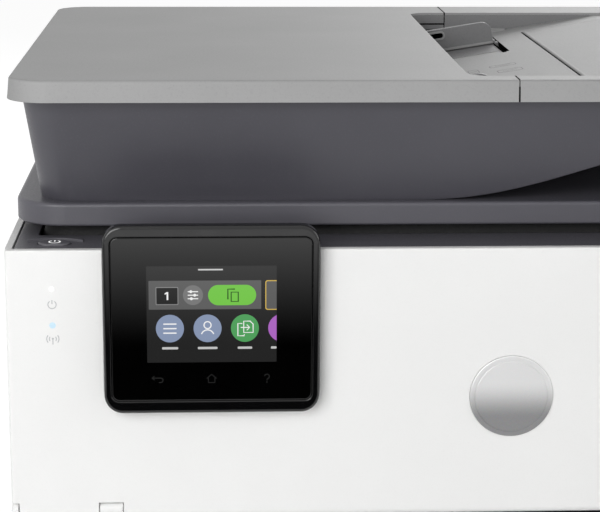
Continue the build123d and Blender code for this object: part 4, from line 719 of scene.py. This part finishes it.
signs = placeShells(powerSign(signLook["powerRadius"], signLook["width"], signLook["ink"]),
                    (lampLook["x"], doorFace, signLook["power"]), **facing)
signs += placeShells(linkSign(signLook), (lampLook["x"], doorFace, signLook["link"]), **facing)
makePiece("status_signs", signs, "door", inks["padPrint"])

buttonLow, buttonHigh = inMillimetres(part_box("power_button"))
buttonTop = ((buttonLow[0] + buttonHigh[0]) / 2, (buttonLow[1] + buttonHigh[1]) / 2, buttonHigh[2])
keySign = placeShells(powerSign(2.35, 0.62, "#ffffff"), buttonTop, **upward)
makePiece("power_sign", keySign, "power_key", inks["litAcrylic"])
print("status lights and signs made")


# ---- screws on the back

screwLook = {"headRadius": 3.1, "rise": 1.5, "slotHalf": 0.45, "slotDepth": 0.9, "slotReach": 2.0,
             "fall": 0.55, "sideWall": 0.2, "endWall": 0.3, "sunk": -0.5,
             "places": ((-197.0, 16.0), (197.0, 16.0), (-197.0, 194.0), (197.0, 194.0))}


def screwShell(look, turn):
    # pan head: a low dome over radius and angle, less a cross whose walls slope down to its floor
    share = np.linspace(0, 1, 22)[:, None]
    angle = np.linspace(0, 2 * np.pi, 72, endpoint=False)[None, :]
    radius = share * look["headRadius"] * np.ones_like(angle)
    dome = look["rise"] * (1 - look["fall"] * share ** 3) * np.ones_like(angle)
    across = np.minimum(np.abs(radius * np.sin(angle)), np.abs(radius * np.cos(angle)))
    inSlot = np.clip((look["slotHalf"] - across) / look["sideWall"], 0, 1)
    inSlot = inSlot * np.clip((look["slotReach"] - radius) / look["endWall"], 0, 1)
    height = dome - inSlot * look["slotDepth"]
    rows = np.stack((radius * np.cos(angle + turn), radius * np.sin(angle + turn), height), -1)
    wall = rows[-1:] * (1, 1, 0) + (0, 0, look["sunk"])
    base = np.broadcast_to(np.array([0, 0, look["sunk"]]), (1, rows.shape[1], 3))
    return shellFrom(np.concatenate((rows, wall, base)), poles=True)


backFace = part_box("rear_cover")[1][1] / mm
screws = []
for number, (x, z) in enumerate(screwLook["places"]):
    points, faces = screwShell(screwLook, 0.4 + number)
    screws += placeShells([(points, faces, "#c0c0c0")], (x, backFace, z), **backward)
makePiece("rear_screws", screws, "chassis", metals["zincedSteelRolled"])
print("screws made")


# ---- joints, guide trims and marks of the document tray

# millimetres; a pair of heights runs outwards from the face that the piece lies on
trayLook = {"slopeDeg": 9.2, "slope": 0.162, "edgeX": -18.9, "edgeZ": 259.5, "levelX": 85.4, "pinionX": 24.5,
            "middleY": -10.5, "fenceFrom": 86.5}
gripLook = {"x": -34.0, "up": 8.5, "width": 12.0, "height": 2.8, "rimWidth": 1.0, "rim": (-0.6, 0.45),
            "gripShade": (-2.2, -1.0), "liningRadius": 0.6, "fit": 0.1}
footLook = {"ledge": (-22.0, 0.6, 40.6, 1.2, 0.5), "ledgeOut": (-0.3, 0.8), "shadeX": (-43.8, -1.8),
            "shadeY": (57.5, 126.0), "shadeOut": (-0.78, -0.66), "slotHalf": 1.52, "slotY": (48.2, 115.3),
            "slotSkin": 0.12, "slotOut": (-2.45, -0.02)}
jointLook = {"sideFrom": 1.05, "sideTo": 0.08, "sideOut": (-2.3, -0.12), "backDown": 0.85, "backWidth": 1.3,
             "backOut": (-0.42, -0.1), "seamShadeOut": (-0.36, 0.36), "seamShadeX": 1.2}
# edge: how far in from the outer wall and down from the top; inner: y of the inner wall, front and back
rimLook = {"foot": 268.7, "inner": (-139.95, 119.55), "skin": 0.05,
           "edge": ((0.8, 1.2), (1.2, 0.35), (2.1, -0.05))}
# face and painted shade line: inset, width, lowest and highest z
wallLook = {"y": 119.6, "from": 1.5, "to": 84.0, "top": 277.0, "out": (0.01, 0.08), "corner": 10.0,
            "cornerIn": 9.9, "face": (0.05, 0.08, 268.6, 277.0), "shadeLine": (0.12, 0.1, 271.3, 272.1)}
markLook = {"ink": "#606060", "width": 0.55, "round": 1.6, "reach": 0.3,
            "boxes": ((-24.5, -4.0, 5.0, 11.0), (-9.0, 2.5, 13.0, 6.0), (-8.0, -16.0, 12.0, 8.0))}


def floorHeight(x):
    # the tray floor rises along x in a straight line, then runs level
    return trayLook["edgeZ"] + trayLook["slope"] * (min(x, trayLook["levelX"]) - trayLook["edgeX"])


def slopeFrame(y, standing):
    # frame over the guides' pinion whose right runs up the slope; standing, it lies on the front of
    # a guide with up square to the floor, and else on the floor with up to the back
    c, s = math.cos(math.radians(trayLook["slopeDeg"])), math.sin(math.radians(trayLook["slopeDeg"]))
    up, out = ((-s, 0, c), (0, -1, 0)) if standing else ((0, 1, 0), (-s, 0, c))
    return {"origin": (trayLook["pinionX"], y, floorHeight(trayLook["pinionX"])), "right": (c, 0, s),
            "up": up, "out": out}


def boxOutline(x0, x1, y0, y1, steps=8):
    # four sides of a rectangle, each cut into equal steps
    share = np.linspace(0, 1, steps, endpoint=False)[:, None]
    corners = np.array([(x0, y0), (x1, y0), (x1, y1), (x0, y1)], float)
    return np.concatenate([a + (b - a) * share for a, b in zip(corners, np.roll(corners, -1, axis=0))])


black, ash = plastics["blackHipsMatt"], plastics["ashAbsMatt"]
shadedAsh, shadeBlack = plastics["ashAbsPaintedShade"], plastics["paintedShadeBlack"]
onFence = slopeFrame(trayLook["middleY"] + trayLook["fenceFrom"], True)
onFloor = slopeFrame(trayLook["middleY"], False)
grip, rimWidth, fit = (gripLook["x"], gripLook["up"]), gripLook["rimWidth"], gripLook["fit"]
width, height = gripLook["width"] + rimWidth, gripLook["height"] + rimWidth
rim = strokeShell(roundedBox(*grip, width, height, height / 2, 8), rimWidth, *gripLook["rim"], True)
addTrim("grip_rim", rim, "#b0b0b0", onFence, "feeder_guide_rear", ash)
# a black sheet just behind the finger slot: painted shade in the slot
mouth = roundedBox(*grip, gripLook["width"] - fit, gripLook["height"] - fit, gripLook["liningRadius"])
gripShade = patchShell(mouth, *gripLook["gripShade"])
addTrim("grip_painted_shade", gripShade, "#101010", onFence, "feeder_guide_rear", shadeBlack)
ledge = patchShell(roundedBox(*footLook["ledge"]), *footLook["ledgeOut"])
addTrim("guide_ledge", ledge, "#b0b0b0", onFence, "feeder_guide_rear", ash)
# a darker plate in the guide's recess: painted shade where the guide's shadow falls on the floor
recessShade = patchShell(boxOutline(*footLook["shadeX"], *footLook["shadeY"]), *footLook["shadeOut"])
addTrim("recess_painted_shade", recessShade, "#808080", onFloor, "lid", shadedAsh)
# black skins round the mouth of the floor slot: painted shade in the slot
half = footLook["slotHalf"]
shieldsAndSlotShade = []
for side in (-1, 1):
    mouth = boxOutline(-half, half, *sorted(side * y for y in footLook["slotY"]))
    shieldsAndSlotShade.append((*strokeShell(mouth, footLook["slotSkin"], *footLook["slotOut"], True), "#101010"))
makePiece("guide_slot_painted_shade", placeShells(shieldsAndSlotShade, **onFloor), "lid", shadeBlack)

# black strips just under the gaps round the flap: painted shade in the open joints
flapLow, flapHigh = inMillimetres(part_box("adf_tray_flap"))
x0, x1 = flapLow[0] - jointLook["sideFrom"], flapLow[0] - jointLook["sideTo"]
sideJointShade = patchShell(boxOutline(x0, x1, flapLow[1], flapHigh[1]), *jointLook["sideOut"])
jointShade = placeShells([(*sideJointShade, "#101010")], (0, 0, floorHeight(flapLow[0])), **upward)
reach = np.linspace(flapLow[0] + 1, flapHigh[0] - 1, 40)
backEdge = np.stack((reach, [floorHeight(x) - jointLook["backDown"] for x in reach]), -1)
backJointShade = strokeShell(backEdge, jointLook["backWidth"], *jointLook["backOut"])
jointShade += placeShells([(*backJointShade, "#101010")], (0, flapHigh[1], 0), **facing)
makePiece("flap_joint_painted_shade", jointShade, "lid", shadeBlack)

rimLow, rimHigh = inMillimetres(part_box("adf_cover"))


def rimSection(look, front):
    # outline of the rim's arm in (y, z), a hair larger: it flares downwards and its top edge is rounded
    side, outer, inner = (1, rimLow[1], look["inner"][0]) if front else (-1, rimHigh[1], look["inner"][1])
    edge = [(outer + inward * side, rimHigh[2] - down) for inward, down in look["edge"]]
    top = rimHigh[2] + look["skin"]
    return np.array([(outer - look["skin"] * side, look["foot"]), *edge, (inner, top), (inner, look["foot"])])


# black sections across the seam between the cover's arms and the tray rim: painted shade in the seam
seamShade = [(*patchShell(rimSection(rimLook, front), *jointLook["seamShadeOut"]), "#101010") for front in (True, False)]
makePiece("rim_seam_painted_shade", placeShells(seamShade, (jointLook["seamShadeX"], 0, 0), (0, 1, 0), (0, 0, 1), (1, 0, 0)), "lid",
          shadeBlack)

# darker face over the tray's inner back wall: painted shade, the wall stands in shade
wallY, x0, x1, top = (wallLook[k] for k in ("y", "from", "to", "top"))
wall = [(x0, floorHeight(x0) + 0.3), (x1, floorHeight(x1) + 0.1), (x1, top), (x0, top)]
addTrim("tray_wall_painted_shade", patchShell(wall, *wallLook["out"]), "#808080", {"origin": (0, wallY, 0), **facing},
        "lid", shadedAsh)
# the cover's inner wall turns round a 10 mm corner; a darker face and a black line on it follow that path,
# both painted shade on a wall in shade
corner = (rimHigh[0] - wallLook["cornerIn"], wallY - wallLook["corner"])
for name, key, material, slotName in (("arm_wall_painted_shade", "face", shadedAsh, "grey_shell"),
                                      ("arm_shade_line", "shadeLine", shadeBlack, "black_part")):
    inset, width, low, high = wallLook[key]
    ends = [(x, wallY - inset) for x in (corner[0], rimHigh[0] - 5, rimHigh[0] - 0.1)]
    path = np.concatenate((arc(*corner, wallLook["corner"] - inset, 175, 92, 16), ends))
    addTrim(name, strokeShell(path, width, low, high), "#808080", {"origin": (0, 0, 0), **upward},
            "feeder_cover", material)

markShells = []
for x, y, width, height in markLook["boxes"]:
    outline, reach = roundedBox(x, y, width, height, markLook["round"]), markLook["reach"] * width
    for path, closed in ((outline, True), ([(x - reach, y), (x, y), (x + reach, y)], False)):
        markShells.append((*strokeShell(path, markLook["width"], *layer(0), closed), markLook["ink"]))
makePiece("tray_marks", placeShells(markShells, **onFloor), "lid", inks["padPrint"])
print("document tray trimmed")


# ---- sockets in the back

# openings: x from and to, half the height; contacts: from each side wall, under the roof, heights
socketLook = {"centreZ": 46.0, "blockHalf": 20.6, "up": 10.6, "depth": 16.0, "wall": 0.15,
              "plateOut": (0.0, 0.18),
              "openings": ((-16.0, -4.0, 5.5), (2.0, 17.0, 7.0)), "mouthOut": 0.15, "floor": (0.05, 0.2),
              "pitch": 1.3, "contact": 0.55, "contactIn": (2.2, 1.9), "contactUnder": (2.2, 1.5),
              "contactOut": (-14.0, -3.0)}


def socketShells(look):
    # a face plate of bars round two square mouths, and for each mouth a four-sided lining with a floor;
    # heights run out of the back, contacts are thin bars side by side
    (a, b, first), (c, d, second) = look["openings"]
    half, up, wall, deep = look["blockHalf"], look["up"], look["wall"], look["depth"]
    bars = [(-half, a, -up, up), (b, c, -up, up), (d, half, -up, up), (a, b, first, up), (a, b, -up, -first),
            (c, d, second, up), (c, d, -up, -second)]
    plate = [(*patchShell(boxOutline(*bar), *look["plateOut"]), "#101010") for bar in bars]
    shieldsAndSlotShade, contacts = [], []
    (left, right), (upper, lower) = look["contactIn"], look["contactUnder"]
    for x0, x1, z in look["openings"]:
        mouth = boxOutline(x0 + wall, x1 - wall, -z + wall, z - wall)
        shieldsAndSlotShade.append((*strokeShell(mouth, wall, 0.1 - deep, look["mouthOut"], True), "#c0c0c0"))
        shieldsAndSlotShade.append((*patchShell(mouth, *(level - deep for level in look["floor"])), "#c0c0c0"))
        for x in np.arange(x0 + left, x1 - right, look["pitch"]):
            bar = boxOutline(x - look["contact"] / 2, x + look["contact"] / 2, z - upper, z - lower)
            contacts.append((*patchShell(bar, *look["contactOut"]), "#d8c27a"))
    return plate, shieldsAndSlotShade, contacts


boardHigh = np.array(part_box("main_board")[1]) / mm
socketCorner = (boardHigh[0] - socketLook["blockHalf"], boardHigh[1], socketLook["centreZ"])
socketPlace = {"origin": socketCorner, **backward}
plate, shieldsAndSlotShade, contacts = socketShells(socketLook)
makePiece("socket_plate", placeShells(plate, **socketPlace), "chassis", black)
makePiece("socket_shields", placeShells(shieldsAndSlotShade, **socketPlace), "chassis", metals["zincedSteelRolled"])
makePiece("socket_contacts", placeShells(contacts, **socketPlace), "chassis", metals["platedBrass"])
print("sockets made")


# ---- studio

studioLook = {"ambient": 0.28, "seen": 1.0, "floor": "#f4f4f4", "floorFleck": "#f0f0f0", "floorGlow": 0.68,
              "glowLevel": 1.3, "floorHalf": 6.0}


def raysThatSee(tree):
    # one for rays from the camera, from gloss and through glass, nothing for the rest
    path = addNode(tree, "ShaderNodeLightPath")
    seen = combine(tree, "MAXIMUM", path.outputs["Is Camera Ray"], path.outputs["Is Glossy Ray"])
    return combine(tree, "MAXIMUM", seen, path.outputs["Is Transmission Ray"])


def flatPiece(name, corners):
    # one four-cornered face with an empty material
    mesh = bpy.data.meshes.new(name)
    mesh.from_pydata(corners, [], [(0, 1, 2, 3)])
    material = bpy.data.materials.new(name + "Face")
    mesh.materials.append(material)
    return addObject(name, mesh), emptyTree(material)


def makeStudio(look):
    # pale wrap-round light, and a floor that looks white but keeps the shadow
    world = bpy.data.worlds.new("studio")
    tree = emptyTree(world)
    plain, white = (addNode(tree, "ShaderNodeBackground",
                            {"Color": linearColour("#ffffff"), "Strength": look[k]}).outputs[0]
                    for k in ("ambient", "seen"))
    both = addNode(tree, "ShaderNodeMixShader", {0: raysThatSee(tree), 1: plain, 2: white})
    addNode(tree, "ShaderNodeOutputWorld", {"Surface": both.outputs[0]})
    scene.world = world
    half = look["floorHalf"]
    floor, tree = flatPiece("floor", [(-half, -half, 0), (half, -half, 0), (half, half, 0), (-half, half, 0)])
    place = addNode(tree, "ShaderNodeTexCoord").outputs["Object"]
    fleck = addNode(tree, "ShaderNodeTexNoise", {"Vector": place, "Scale": 3.0}).outputs["Fac"]
    tint = mixColours(tree, fleck, look["floorFleck"], look["floor"])
    matt = addNode(tree, "ShaderNodeBsdfDiffuse", {"Color": tint}).outputs[0]
    glow = addNode(tree, "ShaderNodeEmission",
                   {"Color": linearColour("#ffffff"), "Strength": look["glowLevel"]}).outputs[0]
    share = combine(tree, "MULTIPLY", raysThatSee(tree), look["floorGlow"])
    both = addNode(tree, "ShaderNodeMixShader", {0: share, 1: matt, 2: glow})
    addNode(tree, "ShaderNodeOutputMaterial", {"Surface": both.outputs[0]})


lampsLook = {
    # name: place, aimed at, width, height, watts
    "key": ((-0.65, -1.2, 0.6), (-0.1, -0.15, 0.15), 0.8, 0.8, 10.9),
    "back": ((0.75, 1.6, 0.95), (0.1, 0.0, 0.25), 1.2, 0.8, 15.0),
    "side": ((1.7, -0.6, 0.8), (0.0, 0.0, 0.15), 0.9, 1.1, 7.0),
}


def addLamp(name, place, target, width, height, watts):
    data = bpy.data.lights.new(name, "AREA")
    data.shape, data.size, data.size_y, data.energy = "RECTANGLE", width, height, watts
    lamp = addObject(name, data)
    lamp.location = place
    lamp.rotation_euler = (Vector(target) - Vector(place)).to_track_quat("-Z", "Y").to_euler()


cardLook = {"y": -0.5, "left": -0.75, "right": 0.45, "low": 0.0, "high": 0.145, "dark": 0.072, "bright": 1.55,
            "curve": 1.6}


def darkCard(look):
    # black card that only gloss sees: it fades upward, so the touch panel turns from grey to black
    x0, x1, y, z0, z1 = (look[k] for k in ("left", "right", "y", "low", "high"))
    card, tree = flatPiece("card", [(x0, y, z0), (x1, y, z0), (x1, y, z1), (x0, y, z1)])
    place = addNode(tree, "ShaderNodeTexCoord").outputs["Object"]
    height = addNode(tree, "ShaderNodeSeparateXYZ", {0: place}).outputs["Z"]
    bend = combine(tree, "POWER", spread(tree, height, look["dark"], z1), look["curve"])
    glow = addNode(tree, "ShaderNodeEmission", {"Strength": combine(tree, "MULTIPLY", bend, look["bright"])})
    addNode(tree, "ShaderNodeOutputMaterial", {"Surface": glow.outputs[0]})
    card.visible_camera = card.visible_diffuse = card.visible_transmission = card.visible_shadow = False


makeStudio(studioLook)
for name, setting in lampsLook.items():
    addLamp(name, *setting)
darkCard(cardLook)
scene.view_settings.view_transform = "Standard"
print("studio lit")
